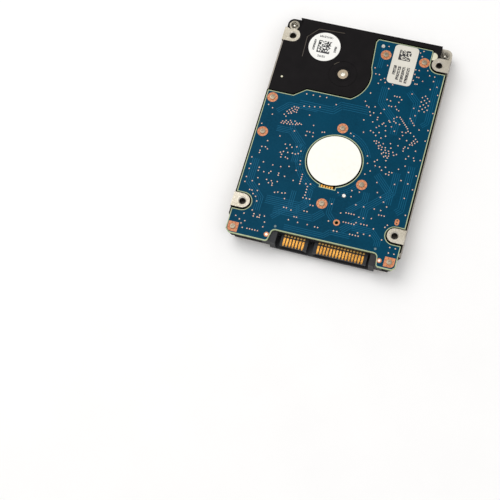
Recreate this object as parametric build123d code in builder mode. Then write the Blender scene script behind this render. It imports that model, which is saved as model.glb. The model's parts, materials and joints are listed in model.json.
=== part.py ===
from build123d import *
from math import cos, radians, sin
import os

os.makedirs("parts", exist_ok=True)

# A 2.5 inch disk drive, 9.5 mm high, lying on its label. Millimetres.
# +Z is the circuit board side, -Y the connector end, and the origin is the
# middle of the label side's bounding rectangle.

# --- Driving dimensions: envelope and mounting holes of the 2.5 inch form factor
case_width = 69.85
case_length = 100.2
case_height = 9.5
mount_x = 61.72 / 2
mount_y = (-36.1, 40.5)
mount_hole_radius = 1.25
side_hole_drop = 3.0

# --- Heights, from the label side up
label_top = 0.1
cover_step_top = 0.35
flange_top = 0.8
sheet = 0.5
gasket_bottom = flange_top + sheet
rim = gasket_bottom + 0.3
disc_floor = 6.6
pocket_floor = 7.2
motor_ceiling = 8.0
board_bottom = 8.1
board_top = 8.9
coil_floor = 8.5
land = 9.4
notch_lip = 2.2
film = 0.08

# --- Plan of the case
side_x = case_width / 2
front_x = 33.5
case_front = -48.8
case_far = case_length / 2 - 0.1
board_front = -case_length / 2

# --- Spindle and disc stack
spindle = (0.15, -10.8)
disc_radius = 32.5
disc_bore = 10.0
disc_thickness = 0.635
disc_levels = (2.2, 4.6)
disc_cavity_radius = disc_radius + 0.4
hub_flange_radius = 12.3
motor_boss_radius = 10.6
motor_boss_top = 9.1
motor_well_radius = 11.3
shaft_radius = 2.0
shaft_clearance = 0.03
sleeve_radius = 3.1
sleeve_bottom = 3.7
hub_body_top = 5.3
skirt_level = 6.1
skirt_radius = 10.8
skirt_height = 1.6
rotor_radius = 9.9
rotor_bore = 9.1

# --- Actuator
pivot = (-6.2, 27.5)
parked = -20.0
coil_angle = 156.0
stroke = 40.0
yoke_angle = coil_angle - stroke / 2
pivot_radius = 1.6
pivot_cap_radius = 2.12
pivot_cap_low = disc_floor + 0.8
pivot_top = 9.35
pivot_socket = 0.45
bearing_radius = 3.3
arm_hub_radius = 5.4
arm_levels = ((0.95, 1.55), (3.35, 4.05), (5.75, 6.15))
suspension_thickness = 0.1
suspension_levels = (1.55, 3.25, 4.05, 5.65)
slider_levels = ((1.65, 1.95), (2.97, 3.25), (4.15, 4.43), (5.4, 5.65))
coil_level = (3.9, 5.5)
coil_reach = (9.8, 19.4)
coil_half = 22.3
yoke_thickness = 1.0
cover_yoke_level = 1.35
base_yoke_level = 7.1
yoke_plan = (8.2, 22.6, 40)
magnet_plan = (9.4, 20.6, 36)
magnet_thickness = 1.1

# --- Screws
cover_screw_places = (
    (-32.0, 46.9),
    (32.0, 46.9),
    (-31.0, -45.6),
    (31.0, -45.6),
    (-32.6, 8.5),
    (32.6, 8.5),
)
board_screw_places = (
    (-31.5, 11.0),
    (-31.3, -4.8),
    (-31.6, -47.4),
    (31.45, -47.2),
    (8.8, 40.4),
    (24.8, 40.4),
    (-0.2, 3.95),
    (13.2, -18.2),
    (0.0, -29.7),
)
locating_pin_places = ((6.7, 44.1), (7.6, -24.4))
screw_radius = 0.7
screw_hole_bottom = 6.8
cover_screw_radius = 0.8
cover_screw_head = 0.3
pin_radius = 0.85
pin_bottom = 6.9
pin_top = 9.2
clamp_screw_radius = 0.6
ramp_screw_radius = 0.6

# --- Connector
contact_pitch = 1.27
contact_top = 6.15
tongue = (4.77, 6.0)
signal_start = -10.7
signal_count = 7
power_start = 3.1
power_count = 15
connector_back = -44.3

# --- Small fittings
breather = (25.2, -37.6)
breather_radius = 3.0
feedthrough_place = (15.6, 31.6)
feedthrough_size = (9.0, 3.0)


def save(piece, name):
    """Label a finished piece and write it as its own STEP file."""
    piece.part.label = name
    export_step(piece.part, f"parts/{name}.step")


def polar(centre, radius, angle):
    """Point at an angle in degrees from +X about a centre."""
    return (centre[0] + radius * cos(radians(angle)), centre[1] + radius * sin(radians(angle)))


ramp_angle = parked - 1
ramp_fixing = polar(pivot, 37.7, ramp_angle)
ramp_low = 1.75
ramp_half = 5


def sector(centre, inner, outer, middle, half, mode=Mode.ADD):
    """Face between two radii and within half degrees of the middle angle."""
    start = middle - half
    end = middle + half
    with BuildLine() as path:
        CenterArc(centre, inner, start, 2 * half)
        CenterArc(centre, outer, start, 2 * half)
        Line(polar(centre, inner, start), polar(centre, outer, start))
        Line(polar(centre, inner, end), polar(centre, outer, end))
    make_face(path.edges(), mode=mode)


def outline(points, mode=Mode.ADD):
    """Face inside a closed polygon."""
    with BuildLine() as path:
        Polyline(*points, close=True)
    make_face(path.edges(), mode=mode)


def taper(angle, near, near_half, far, far_half, mode=Mode.ADD):
    """Straight-sided blade pointing away from the actuator's pivot."""
    with BuildLine() as path:
        Polyline(
            pivot_frame(angle, near, -near_half),
            pivot_frame(angle, far, -far_half),
            pivot_frame(angle, far, far_half),
            pivot_frame(angle, near, near_half),
            close=True,
        )
    make_face(path.edges(), mode=mode)


def pivot_frame(angle, along, across):
    """Point given along and across a direction that leaves the pivot."""
    foot = polar(pivot, along, angle)
    return polar(foot, across, angle + 90)


def disc(places, radius, mode=Mode.ADD):
    """Circles at the given places."""
    with Locations(*places):
        Circle(radius, mode=mode)


def ring(centre, outer, inner):
    """Flat ring."""
    with Locations(centre):
        Circle(outer)
        Circle(inner, mode=Mode.SUBTRACT)


def case_outline(inset=0.0):
    """Plan of the casting: full width, then a narrower nose with cut corners."""
    nose = case_front + inset
    shoulder = -42.0
    corner = 2.5
    outline(
        (
            (-side_x + inset, case_far - inset),
            (-side_x + inset, shoulder),
            (-front_x + inset, shoulder - 1.4),
            (-front_x + inset, nose + corner),
            (-front_x + inset + corner, nose),
            (front_x - inset - corner, nose),
            (front_x - inset, nose + corner),
            (front_x - inset, shoulder - 1.4),
            (side_x - inset, shoulder),
            (side_x - inset, case_far - inset),
        )
    )


def actuator_bay(mode=Mode.ADD):
    """Plan of the inner bay that holds the actuator, ramp and latch."""
    outline(
        (
            (-20.0, 10.0),
            (-28.0, 12.5),
            (-31.0, 17.0),
            (-31.0, 34.5),
            (-26.6, 38.0),
            (-26.6, 45.5),
            (-24.0, 48.3),
            (26.0, 48.3),
            (27.6, 46.7),
            (27.6, 36.0),
            (32.3, 34.0),
            (32.3, 13.2),
            (29.6, 9.6),
            (20.0, 9.6),
        ),
        mode,
    )


def cavity():
    """Plan of the whole inside: the disc's circle and the actuator bay."""
    disc((spindle,), disc_cavity_radius)
    actuator_bay()


def board_outline():
    """Plan of the circuit board, notched for the tabs and the connector."""
    edge = 34.2
    notch = 3.65
    front_tab, far_tab = mount_y
    with BuildLine() as path:
        Polyline((-edge, front_tab + notch), (-edge, 13.9), (-23.5, 13.9), (-18.8, 17.6), (-0.5, 17.6))
        ThreePointArc((-0.5, 17.6), (4.95, 25.2), (4.35, 33.2))
        Polyline((4.35, 33.2), (3.4, 45.3), (4.1, 46.9), (mount_x - notch, 46.7), (mount_x - notch, far_tab))
        CenterArc((mount_x, far_tab), notch, 180, 90)
        Polyline((mount_x, far_tab - notch), (edge, far_tab - notch), (edge, front_tab + notch))
        Line((edge, front_tab + notch), (mount_x, front_tab + notch))
        CenterArc((mount_x, front_tab), notch, 90, 180)
        Polyline(
            (mount_x, front_tab - notch),
            (edge, front_tab - notch),
            (edge, -48.9),
            (33.0, board_front),
            (27.3, board_front),
            (26.6, -49.5),
            (26.2, -46.4),
        )
        ThreePointArc((26.2, -46.4), (25.7, -45.3), (24.6, -44.85))
        Line((24.6, -44.85), (-14.8, -44.85))
        ThreePointArc((-14.8, -44.85), (-15.8, -45.25), (-16.3, -46.4))
        Polyline(
            (-16.3, -46.4),
            (-16.9, -49.5),
            (-17.6, board_front),
            (-32.7, board_front),
            (-edge, -48.7),
            (-edge, front_tab - notch),
            (-mount_x, front_tab - notch),
        )
        CenterArc((-mount_x, front_tab), notch, 270, 180)
        Line((-mount_x, front_tab + notch), (-edge, front_tab + notch))
    board = make_face(path.edges())
    fillet(board.vertices().filter_by_position(Axis.Y, 45.2, 47.0), 0.7)
    fillet(board.vertices().filter_by_position(Axis.Y, 13.8, 14.0), 0.5)


def tab_shapes():
    """The four bare machined mounting tabs, round inwards and square outwards."""
    tab_radius = 3.0
    reach = side_x - mount_x
    for side in (-1, 1):
        for tab_y in mount_y:
            with Locations((side * mount_x, tab_y)):
                Circle(tab_radius)
            with Locations((side * (mount_x + reach / 2), tab_y)):
                Rectangle(reach, 2 * tab_radius)


# ---------------------------------------------------------------- case
board_gap = 0.35
boss_radius = 2.4
corner_boss_level = 4.0
corner_shelf = 5.9
groove = 0.12

with BuildPart() as base_casting:
    with BuildSketch(Plane.XY.offset(rim)):
        case_outline()
        fillet(vertices().group_by(Axis.Y)[-1], 2.6)
    extrude(amount=land - rim)
    chamfer(faces().sort_by(Axis.Z)[-1].edges(), 1.4, 0.8)
    # Round bosses under the board's two front corners
    with BuildSketch(Plane.XY.offset(corner_boss_level)):
        disc(board_screw_places[2:4], 1.9)
    extrude(amount=board_bottom - corner_boss_level)
    # The level that the board lies on, open at the sides where the board runs to the edge
    with BuildSketch(Plane.XY.offset(board_bottom)):
        board_outline()
        offset(amount=board_gap)
        for side, strip_far in ((-1, 14.25), (1, 37.2)):
            with Locations((side * side_x, (strip_far + board_front) / 2)):
                Rectangle(3.0, strip_far - board_front)
    extrude(amount=case_height - board_bottom, mode=Mode.SUBTRACT)
    # Tabs stand level with the top of the drive
    with BuildSketch(Plane.XY.offset(disc_floor)):
        tab_shapes()
    extrude(amount=case_height - disc_floor)
    # Pocket under the board for its chips
    with BuildSketch(Plane.XY.offset(pocket_floor)):
        board_outline()
        offset(amount=-2.2)
        disc(board_screw_places, boss_radius, Mode.SUBTRACT)
        disc(locating_pin_places, 1.8, Mode.SUBTRACT)
        disc((spindle,), motor_boss_radius + 1.8, Mode.SUBTRACT)
    extrude(amount=board_bottom - pocket_floor, mode=Mode.SUBTRACT)
    # Motor boss stands up through the board
    with BuildSketch(Plane.XY.offset(pocket_floor)):
        disc((spindle,), motor_boss_radius)
    extrude(amount=motor_boss_top - pocket_floor)
    # Inside: disc and actuator level, the deeper coil pocket and the motor well
    with BuildSketch(Plane.XY.offset(rim)):
        cavity()
    extrude(amount=disc_floor - rim, mode=Mode.SUBTRACT)
    with BuildSketch(Plane.XY.offset(disc_floor)):
        sector(pivot, 7.4, 23.2, yoke_angle, 44)
        actuator_bay(Mode.INTERSECT)
    extrude(amount=coil_floor - disc_floor, mode=Mode.SUBTRACT)
    with BuildSketch(Plane.XY.offset(disc_floor)):
        disc((spindle,), motor_well_radius)
    extrude(amount=motor_ceiling - disc_floor, mode=Mode.SUBTRACT)
    with BuildSketch(Plane.XY.offset(motor_ceiling)):
        disc((spindle,), sleeve_radius)
    extrude(amount=motor_boss_top - motor_ceiling, mode=Mode.SUBTRACT)
    with BuildSketch(Plane.XY.offset(disc_floor)):
        disc((pivot,), pivot_cap_radius)
    extrude(amount=land - disc_floor, mode=Mode.SUBTRACT)
    # Breather well in the front right corner
    with BuildSketch(Plane.XY.offset(rim)):
        disc((breather,), breather_radius)
    extrude(amount=3.0, mode=Mode.SUBTRACT)
    # Connector notch, with a thin lip left for the cover
    with BuildSketch(Plane.XY.offset(notch_lip)):
        with Locations((4.9, (board_front + connector_back) / 2)):
            Rectangle(49.0, connector_back - board_front)
    extrude(amount=case_height - notch_lip, mode=Mode.SUBTRACT)
    with BuildSketch(Plane.XY.offset(pocket_floor)):
        with Locations((4.9, connector_back)):
            Rectangle(41.0, 3.0)
    extrude(amount=case_height - pocket_floor, mode=Mode.SUBTRACT)
    # Shelves for the cover screws in the two far corners
    with BuildSketch(Plane.XY.offset(corner_shelf)):
        disc((cover_screw_places[0],), 3.8)
        with Locations((-side_x, case_far)):
            Rectangle(6.0, 6.4)
        with Locations((side_x, case_far)):
            Rectangle(9.2, 12.4)
    extrude(amount=case_height - corner_shelf, mode=Mode.SUBTRACT)
    # Parting nick in the far edge
    with BuildSketch(Plane.XY.offset(board_bottom)):
        with Locations((-1.7, case_far)):
            Rectangle(1.4, 1.8)
    extrude(amount=case_height - board_bottom, mode=Mode.SUBTRACT)
    # Opening for the feedthrough connector
    with BuildSketch(Plane.XY.offset(disc_floor)):
        with Locations(feedthrough_place):
            Rectangle(*feedthrough_size)
    extrude(amount=pocket_floor - disc_floor, mode=Mode.SUBTRACT)
    # Shallow pressed lines on the land: rings about the pivot and the coil's outline
    with BuildSketch(Plane.XY.offset(land - groove)):
        ring(pivot, 5.95, 5.65)
        ring(pivot, 3.3, 3.05)
        outline(((-24.4, 31.7), (-24.7, 41.1), (-20.8, 45.6), (-10.0, 46.0), (-10.0, 46.3),
                 (-20.95, 45.9), (-25.0, 41.2), (-24.7, 31.7)))
    extrude(amount=groove, mode=Mode.SUBTRACT)
    # Mounting holes
    with Locations(*[(side * mount_x, tab_y, case_height) for side in (-1, 1) for tab_y in mount_y]):
        CounterSinkHole(mount_hole_radius, 1.7, depth=3.2, counter_sink_angle=90)
    for side in (-1, 1):
        for tab_y in mount_y:
            mouth = Plane((side * side_x, tab_y, case_height - side_hole_drop), z_dir=(side, 0, 0))
            with Locations(mouth):
                CounterSinkHole(mount_hole_radius, 1.7, depth=2.6, counter_sink_angle=90)
    # Screw holes
    with BuildSketch(Plane.XY.offset(rim)):
        disc(cover_screw_places[:2], cover_screw_radius)
    extrude(amount=corner_shelf - rim, mode=Mode.SUBTRACT)
    with BuildSketch(Plane.XY.offset(rim)):
        disc(cover_screw_places[2:], cover_screw_radius)
    extrude(amount=2.4, mode=Mode.SUBTRACT)
    with BuildSketch(Plane.XY.offset(screw_hole_bottom)):
        disc(board_screw_places, screw_radius)
    extrude(amount=board_bottom - screw_hole_bottom, mode=Mode.SUBTRACT)
    with BuildSketch(Plane.XY.offset(pin_bottom)):
        disc(locating_pin_places, pin_radius)
    extrude(amount=board_bottom - pin_bottom, mode=Mode.SUBTRACT)
    with BuildSketch(Plane.XY.offset(disc_floor)):
        disc((ramp_fixing,), ramp_screw_radius)
    extrude(amount=0.5, mode=Mode.SUBTRACT)
save(base_casting, "base_casting")


plateau_step = 1.7


def plateau(inset):
    """Plan of the cover's raised middle, scalloped round its six screws."""
    outline(
        (
            (-32.6 + inset, 47.6 - inset),
            (-32.6 + inset, -43.5),
            (-28.5, -47.2 + inset),
            (28.5, -47.2 + inset),
            (32.6 - inset, -43.5),
            (32.6 - inset, 47.6 - inset),
        )
    )
    disc(cover_screw_places, 3.3 + inset, Mode.SUBTRACT)


with BuildPart() as top_cover:
    with BuildSketch(Plane.XY.offset(flange_top)):
        case_outline(0.35)
        fillet(vertices().group_by(Axis.Y)[-1], 2.3)
    extrude(amount=sheet)
    with BuildSketch(Plane.XY.offset(cover_step_top)):
        plateau(0)
    extrude(amount=flange_top - cover_step_top)
    with BuildSketch(Plane.XY.offset(label_top)):
        plateau(plateau_step)
    extrude(amount=cover_step_top - label_top)
    with BuildSketch(Plane.XY.offset(cover_step_top + sheet)):
        plateau(sheet)
    extrude(amount=flange_top - cover_step_top, mode=Mode.SUBTRACT)
    with BuildSketch(Plane.XY.offset(label_top + sheet)):
        plateau(plateau_step + sheet)
    extrude(amount=cover_step_top - label_top, mode=Mode.SUBTRACT)
    with BuildSketch(Plane.XY.offset(flange_top)):
        disc(cover_screw_places, 1.0)
    extrude(amount=sheet, mode=Mode.SUBTRACT)
    with BuildSketch(Plane.XY.offset(label_top)):
        disc((breather,), 0.8)
    extrude(amount=sheet, mode=Mode.SUBTRACT)
save(top_cover, "top_cover")

with BuildPart() as cover_gasket:
    with BuildSketch(Plane.XY.offset(gasket_bottom)):
        cavity()
        offset(amount=1.1)
    extrude(amount=rim - gasket_bottom)
    with BuildSketch(Plane.XY.offset(gasket_bottom)):
        cavity()
        offset(amount=0.3)
    extrude(amount=rim - gasket_bottom, mode=Mode.SUBTRACT)
save(cover_gasket, "cover_gasket")

with BuildPart() as cover_screws:
    with BuildSketch(Plane.XY.offset(cover_screw_head)):
        disc(cover_screw_places, 1.9)
    extrude(amount=flange_top - cover_screw_head)
    chamfer(faces().group_by(Axis.Z)[0].edges(), 0.15)
    with BuildSketch(Plane.XY.offset(flange_top)):
        disc(cover_screw_places, cover_screw_radius)
    extrude(amount=3.0)
    with BuildSketch(Plane.XY.offset(cover_screw_head)):
        with Locations(*cover_screw_places):
            RegularPolygon(0.85, 6)
    extrude(amount=0.35, mode=Mode.SUBTRACT)
save(cover_screws, "cover_screws")

with BuildPart() as product_label:
    with BuildSketch():
        outline(
            (
                (-25.0, 43.0),
                (-25.0, -32.5),
                (-6.0, -36.5),
                (-6.0, -34.0),
                (2.0, -34.0),
                (2.0, -36.5),
                (12.0, -36.5),
                (26.5, -24.0),
                (26.5, 43.0),
            )
        )
        fillet(vertices().group_by(Axis.Y)[-1], 2.5)
    extrude(amount=label_top)
save(product_label, "product_label")

seal_recess = 0.02
with BuildPart() as cover_seals:
    with BuildSketch(Plane.XY.offset(seal_recess)):
        disc((breather,), breather_radius + 0.4)
        with Locations((-23.5, -39.5)):
            Ellipse(3.6, 2.6, rotation=35)
    extrude(amount=label_top - seal_recess)
save(cover_seals, "cover_seals")

with BuildPart() as end_stickers:
    with BuildSketch(Plane.XZ.offset(-case_far)):
        for strip_x, strip_length in ((-13.5, 27.0), (17.5, 25.0)):
            with Locations((strip_x, 4.7)):
                Rectangle(strip_length, 4.6)
    extrude(amount=-0.1)
save(end_stickers, "end_stickers")

with BuildPart() as round_sticker:
    with BuildSketch(Plane.XY.offset(land)):
        disc(((-16.7, 38.05),), 6.6)
    extrude(amount=film)
save(round_sticker, "round_sticker")

# ---------------------------------------------------------------- board
with BuildPart() as circuit_board:
    with BuildSketch(Plane.XY.offset(board_bottom)):
        board_outline()
        disc((spindle,), 11.35, Mode.SUBTRACT)
        with Locations((0.35, -21.6)):
            Rectangle(6.1, 2.4, mode=Mode.SUBTRACT)
        disc(board_screw_places, 0.9, Mode.SUBTRACT)
        disc(locating_pin_places, 0.9, Mode.SUBTRACT)
        disc(((7.6, -36.1),), 0.75, Mode.SUBTRACT)
        disc(((30.4, -29.7), (30.4, -30.9)), 0.3, Mode.SUBTRACT)
    extrude(amount=board_top - board_bottom)
save(circuit_board, "circuit_board")

with BuildPart() as board_screws:
    with BuildSketch(Plane.XY.offset(board_top)):
        disc(board_screw_places, 1.3)
    extrude(amount=0.45)
    chamfer(faces().group_by(Axis.Z)[-1].edges(), 0.15)
    with BuildSketch(Plane.XY.offset(screw_hole_bottom)):
        disc(board_screw_places, screw_radius)
    extrude(amount=board_top - screw_hole_bottom)
    with BuildSketch(Plane.XY.offset(board_top + 0.2)):
        with Locations(*board_screw_places):
            RegularPolygon(0.7, 6)
    extrude(amount=0.25, mode=Mode.SUBTRACT)
save(board_screws, "board_screws")

with BuildPart() as locating_pins:
    with BuildSketch(Plane.XY.offset(pin_bottom)):
        disc(locating_pin_places, pin_radius)
    extrude(amount=pin_top - pin_bottom)
    chamfer(faces().group_by(Axis.Z)[-1].edges(), 0.2)
save(locating_pins, "locating_pins")

with BuildPart() as board_insulator:
    with BuildSketch(Plane.XY.offset(pocket_floor)):
        with Locations((-21.0, -11.7)):
            RectangleRounded(14.0, 35.0, 1.5)
    extrude(amount=film)
save(board_insulator, "board_insulator")

chip_face = 7.3
passive_face = 7.6
chips = {
    "controller_chip": ((22.0, -3.0), (12.0, 12.0)),
    "buffer_chip": ((22.0, 14.0), (8.0, 10.0)),
    "motor_driver_chip": ((-20.0, -28.0), (7.0, 7.0)),
    "flash_chip": ((16.0, -33.0), (4.0, 5.0)),
}
for chip_name, (chip_place, chip_size) in chips.items():
    with BuildPart() as chip:
        with BuildSketch(Plane.XY.offset(chip_face)):
            with Locations(chip_place):
                Rectangle(*chip_size)
        extrude(amount=board_bottom - chip_face)
        chamfer(faces().sort_by(Axis.Z)[0].edges(), 0.15)
    save(chip, chip_name)

with BuildPart() as board_passives:
    with BuildSketch(Plane.XY.offset(passive_face)):
        with Locations((-22.0, 3.0)):
            with GridLocations(2.0, 1.6, 5, 4):
                Rectangle(1.0, 0.6)
        with Locations((7.0, -40.0)):
            with GridLocations(2.2, 1.8, 6, 2):
                Rectangle(1.0, 0.6)
    extrude(amount=board_bottom - passive_face)
save(board_passives, "board_passives")

with BuildPart() as board_sticker:
    with BuildSketch(Plane.XY.offset(board_top)):
        with Locations((16.6, 37.3)):
            RectangleRounded(10.0, 18.0, 1.7)
    extrude(amount=film)
save(board_sticker, "board_sticker")

# ---------------------------------------------------------------- connector
contact_width = 0.84
contact_tip = -49.3
contact_root = -44.6
shell_floor = 2.3
shell_mouth = -50.0
shell_back = -44.9
leg_tip = 3.7
ear_level = 4.5
tongue_y = -47.2
tongue_length = 4.6


def contact_row(start, count):
    """Flat contacts lying on a tongue, one pitch apart."""
    for step in range(count):
        with Locations((start + step * contact_pitch, (contact_tip + contact_root) / 2)):
            Rectangle(contact_width, contact_root - contact_tip)


with BuildPart() as sata_housing:
    # Back wall and the floor of the shell
    with BuildSketch(Plane.XY.offset(shell_floor)):
        with Locations((5.0, (connector_back + shell_back) / 2)):
            Rectangle(42.0, connector_back - shell_back)
    extrude(amount=board_bottom - shell_floor)
    with BuildSketch(Plane.XY.offset(shell_floor)):
        with Locations((5.65, (shell_mouth + shell_back) / 2)):
            Rectangle(39.3, shell_back - shell_mouth)
    extrude(amount=0.8)
    # Tongues, each with the leg that keys the plug
    with BuildSketch(Plane.XY.offset(tongue[0])):
        with Locations((-6.7, tongue_y)):
            Rectangle(10.9, tongue_length)
        with Locations((11.9, tongue_y)):
            Rectangle(21.4, tongue_length)
    extrude(amount=tongue[1] - tongue[0])
    with BuildSketch(Plane.XY.offset(leg_tip)):
        with Locations((-1.75, tongue_y), (1.7, tongue_y)):
            Rectangle(1.0, tongue_length)
    extrude(amount=tongue[1] - leg_tip)
    # End blocks and the ears that carry the board's pegs
    with BuildSketch(Plane.XY.offset(shell_floor)):
        with Locations((-14.9, tongue_y), (24.8, tongue_y)):
            Rectangle(2.2, 5.6)
    extrude(amount=board_bottom - shell_floor)
    with BuildSketch(Plane.XY.offset(ear_level)):
        with Locations((-17.6, -47.0), (27.5, -47.0)):
            Rectangle(3.2, 5.2)
    extrude(amount=board_bottom - ear_level)
    # Beds for the contacts
    with BuildSketch(Plane.XY.offset(tongue[1])):
        contact_row(signal_start, signal_count)
        contact_row(power_start, power_count)
    extrude(amount=contact_top - tongue[1], mode=Mode.SUBTRACT)
save(sata_housing, "sata_housing")

for row_name, row_start, row_count in (
    ("signal_contacts", signal_start, signal_count),
    ("power_contacts", power_start, power_count),
):
    with BuildPart() as contacts:
        with BuildSketch(Plane.XY.offset(tongue[1])):
            contact_row(row_start, row_count)
        extrude(amount=contact_top - tongue[1])
    save(contacts, row_name)

with BuildPart() as feedthrough_connector:
    with BuildSketch(Plane.XY.offset(disc_floor)):
        with Locations(feedthrough_place):
            Rectangle(*feedthrough_size)
    extrude(amount=board_bottom - disc_floor)
save(feedthrough_connector, "feedthrough_connector")

# ---------------------------------------------------------------- spindle motor
stator_level = (6.0, 7.4)
tooth_count = 9
tooth_length = 4.4

with BuildPart() as bearing_sleeve:
    with BuildSketch(Plane.XY.offset(sleeve_bottom)):
        ring(spindle, sleeve_radius, shaft_radius + shaft_clearance)
    extrude(amount=motor_boss_top - sleeve_bottom)
save(bearing_sleeve, "bearing_sleeve")


def teeth():
    """Radial teeth of the stator."""
    with Locations(spindle):
        with PolarLocations(sleeve_radius + 0.9 + tooth_length / 2, tooth_count):
            Rectangle(tooth_length, 0.9)


with BuildPart() as stator_core:
    with BuildSketch(Plane.XY.offset(stator_level[0])):
        ring(spindle, sleeve_radius + 1.4, sleeve_radius)
        teeth()
        with Locations(spindle):
            with PolarLocations(8.2, tooth_count):
                Rectangle(0.8, 3.4)
    extrude(amount=stator_level[1] - stator_level[0])
save(stator_core, "stator_core")

with BuildPart() as stator_coils:
    with BuildSketch(Plane.XY.offset(5.7)):
        with Locations(spindle):
            with PolarLocations(6.2, tooth_count):
                Rectangle(2.6, 2.2)
    extrude(amount=2.0)
    with BuildSketch(Plane.XY.offset(stator_level[0])):
        teeth()
    extrude(amount=stator_level[1] - stator_level[0], mode=Mode.SUBTRACT)
save(stator_coils, "stator_coils")

with BuildPart() as motor_seal_disc:
    with BuildSketch(Plane.XY.offset(motor_boss_top)):
        disc((spindle,), 10.75)
    extrude(amount=0.25)
save(motor_seal_disc, "motor_seal_disc")

with BuildPart() as motor_contacts:
    with BuildSketch(Plane.XY.offset(board_bottom)):
        with Locations((0.05, -22.2)):
            with GridLocations(1.06, 1.0, 5, 1):
                Rectangle(0.7, 1.0)
    extrude(amount=0.5)
save(motor_contacts, "motor_contacts")

def clamp_circle(radius, mode=Mode.ADD):
    """Circles at the places of the four screws that hold the disc clamp."""
    with Locations(spindle):
        with PolarLocations(6.5, 4, start_angle=45):
            Circle(radius, mode=mode)


with BuildPart() as spindle_hub:
    with BuildSketch(Plane.XY.offset(disc_levels[0])):
        disc((spindle,), disc_bore)
    extrude(amount=hub_body_top - disc_levels[0])
    with BuildSketch(Plane.XY.offset(disc_levels[1] + disc_thickness)):
        disc((spindle,), hub_flange_radius)
    extrude(amount=skirt_level - disc_levels[1] - disc_thickness)
    with BuildSketch(Plane.XY.offset(skirt_level)):
        disc((spindle,), skirt_radius)
    extrude(amount=skirt_height)
    with BuildSketch(Plane.XY.offset(3.4)):
        disc((spindle,), 9.2)
    extrude(amount=2.2, mode=Mode.SUBTRACT)
    with BuildSketch(Plane.XY.offset(5.6)):
        disc((spindle,), rotor_radius)
    extrude(amount=2.1, mode=Mode.SUBTRACT)
    with BuildSketch(Plane.XY.offset(disc_levels[0])):
        disc((spindle,), shaft_radius)
        clamp_circle(clamp_screw_radius)
    extrude(amount=1.2, mode=Mode.SUBTRACT)
save(spindle_hub, "spindle_hub")

with BuildPart() as spindle_shaft:
    with BuildSketch(Plane.XY.offset(disc_levels[0])):
        disc((spindle,), shaft_radius)
    extrude(amount=8.4 - disc_levels[0])
save(spindle_shaft, "spindle_shaft")

with BuildPart() as rotor_magnet:
    with BuildSketch(Plane.XY.offset(5.8)):
        ring(spindle, rotor_radius, rotor_bore)
    extrude(amount=1.9)
save(rotor_magnet, "rotor_magnet")

for disc_name, disc_level in zip(("platter_cover_side", "platter_board_side"), disc_levels):
    with BuildPart() as platter:
        with BuildSketch(Plane.XY.offset(disc_level)):
            ring(spindle, disc_radius, disc_bore)
        extrude(amount=disc_thickness)
    save(platter, disc_name)

with BuildPart() as platter_spacer:
    with BuildSketch(Plane.XY.offset(disc_levels[0] + disc_thickness)):
        ring(spindle, 12.0, disc_bore)
    extrude(amount=disc_levels[1] - disc_levels[0] - disc_thickness)
save(platter_spacer, "platter_spacer")

clamp_thickness = 0.7
clamp_screw_head = 1.05
with BuildPart() as disc_clamp:
    with BuildSketch(Plane.XY.offset(disc_levels[0] - clamp_thickness)):
        ring(spindle, 11.8, 2.4)
        clamp_circle(clamp_screw_radius, Mode.SUBTRACT)
    extrude(amount=clamp_thickness)
save(disc_clamp, "disc_clamp")

with BuildPart() as clamp_screws:
    with BuildSketch(Plane.XY.offset(clamp_screw_head)):
        clamp_circle(1.1)
    extrude(amount=disc_levels[0] - clamp_thickness - clamp_screw_head)
    with BuildSketch(Plane.XY.offset(disc_levels[0] - clamp_thickness)):
        clamp_circle(clamp_screw_radius)
    extrude(amount=1.6)
save(clamp_screws, "clamp_screws")

# ---------------------------------------------------------------- actuator
pivot_bottom = 1.0
with BuildPart() as pivot_shaft:
    with BuildSketch(Plane.XY.offset(pivot_bottom)):
        disc((pivot,), pivot_radius)
    extrude(amount=pivot_cap_low - pivot_bottom)
    with BuildSketch(Plane.XY.offset(pivot_cap_low)):
        disc((pivot,), pivot_cap_radius)
    extrude(amount=pivot_top - pivot_cap_low)
    with BuildSketch(Plane.XY.offset(pivot_top - pivot_socket)):
        with Locations(pivot):
            RegularPolygon(1.0, 6)
    extrude(amount=pivot_socket, mode=Mode.SUBTRACT)
save(pivot_shaft, "pivot_shaft")

with BuildPart() as pivot_bearing:
    with BuildSketch(Plane.XY.offset(0.95)):
        ring(pivot, bearing_radius, pivot_radius + shaft_clearance)
    extrude(amount=5.25)
save(pivot_bearing, "pivot_bearing")

with BuildPart() as arm_block:
    with BuildSketch(Plane.XY.offset(arm_levels[0][0])):
        disc((pivot,), arm_hub_radius)
    extrude(amount=arm_levels[2][1] - arm_levels[0][0])
    for arm_low, arm_high in arm_levels:
        with BuildSketch(Plane.XY.offset(arm_low)):
            taper(parked, 3.0, 4.2, 21.0, 2.3)
            disc((polar(pivot, 11.5, parked),), 1.9, Mode.SUBTRACT)
            disc((polar(pivot, 16.2, parked),), 1.2, Mode.SUBTRACT)
        extrude(amount=arm_high - arm_low)
    with BuildSketch(Plane.XY.offset(arm_levels[0][0])):
        disc((pivot,), bearing_radius)
    extrude(amount=arm_levels[2][1] - arm_levels[0][0], mode=Mode.SUBTRACT)
save(arm_block, "arm_block")

with BuildPart() as coil_frame:
    with BuildSketch(Plane.XY.offset(coil_level[0])):
        sector(pivot, arm_hub_radius, coil_reach[1] + 0.8, coil_angle, coil_half + 2.7)
        sector(pivot, coil_reach[0], coil_reach[1], coil_angle, coil_half, Mode.SUBTRACT)
    extrude(amount=coil_level[1] - coil_level[0])
save(coil_frame, "coil_frame")

with BuildPart() as voice_coil:
    with BuildSketch(Plane.XY.offset(coil_level[0])):
        sector(pivot, coil_reach[0], coil_reach[1], coil_angle, coil_half)
        sector(pivot, 12.6, 16.6, coil_angle, 12, Mode.SUBTRACT)
    extrude(amount=coil_level[1] - coil_level[0])
save(voice_coil, "voice_coil")

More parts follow.
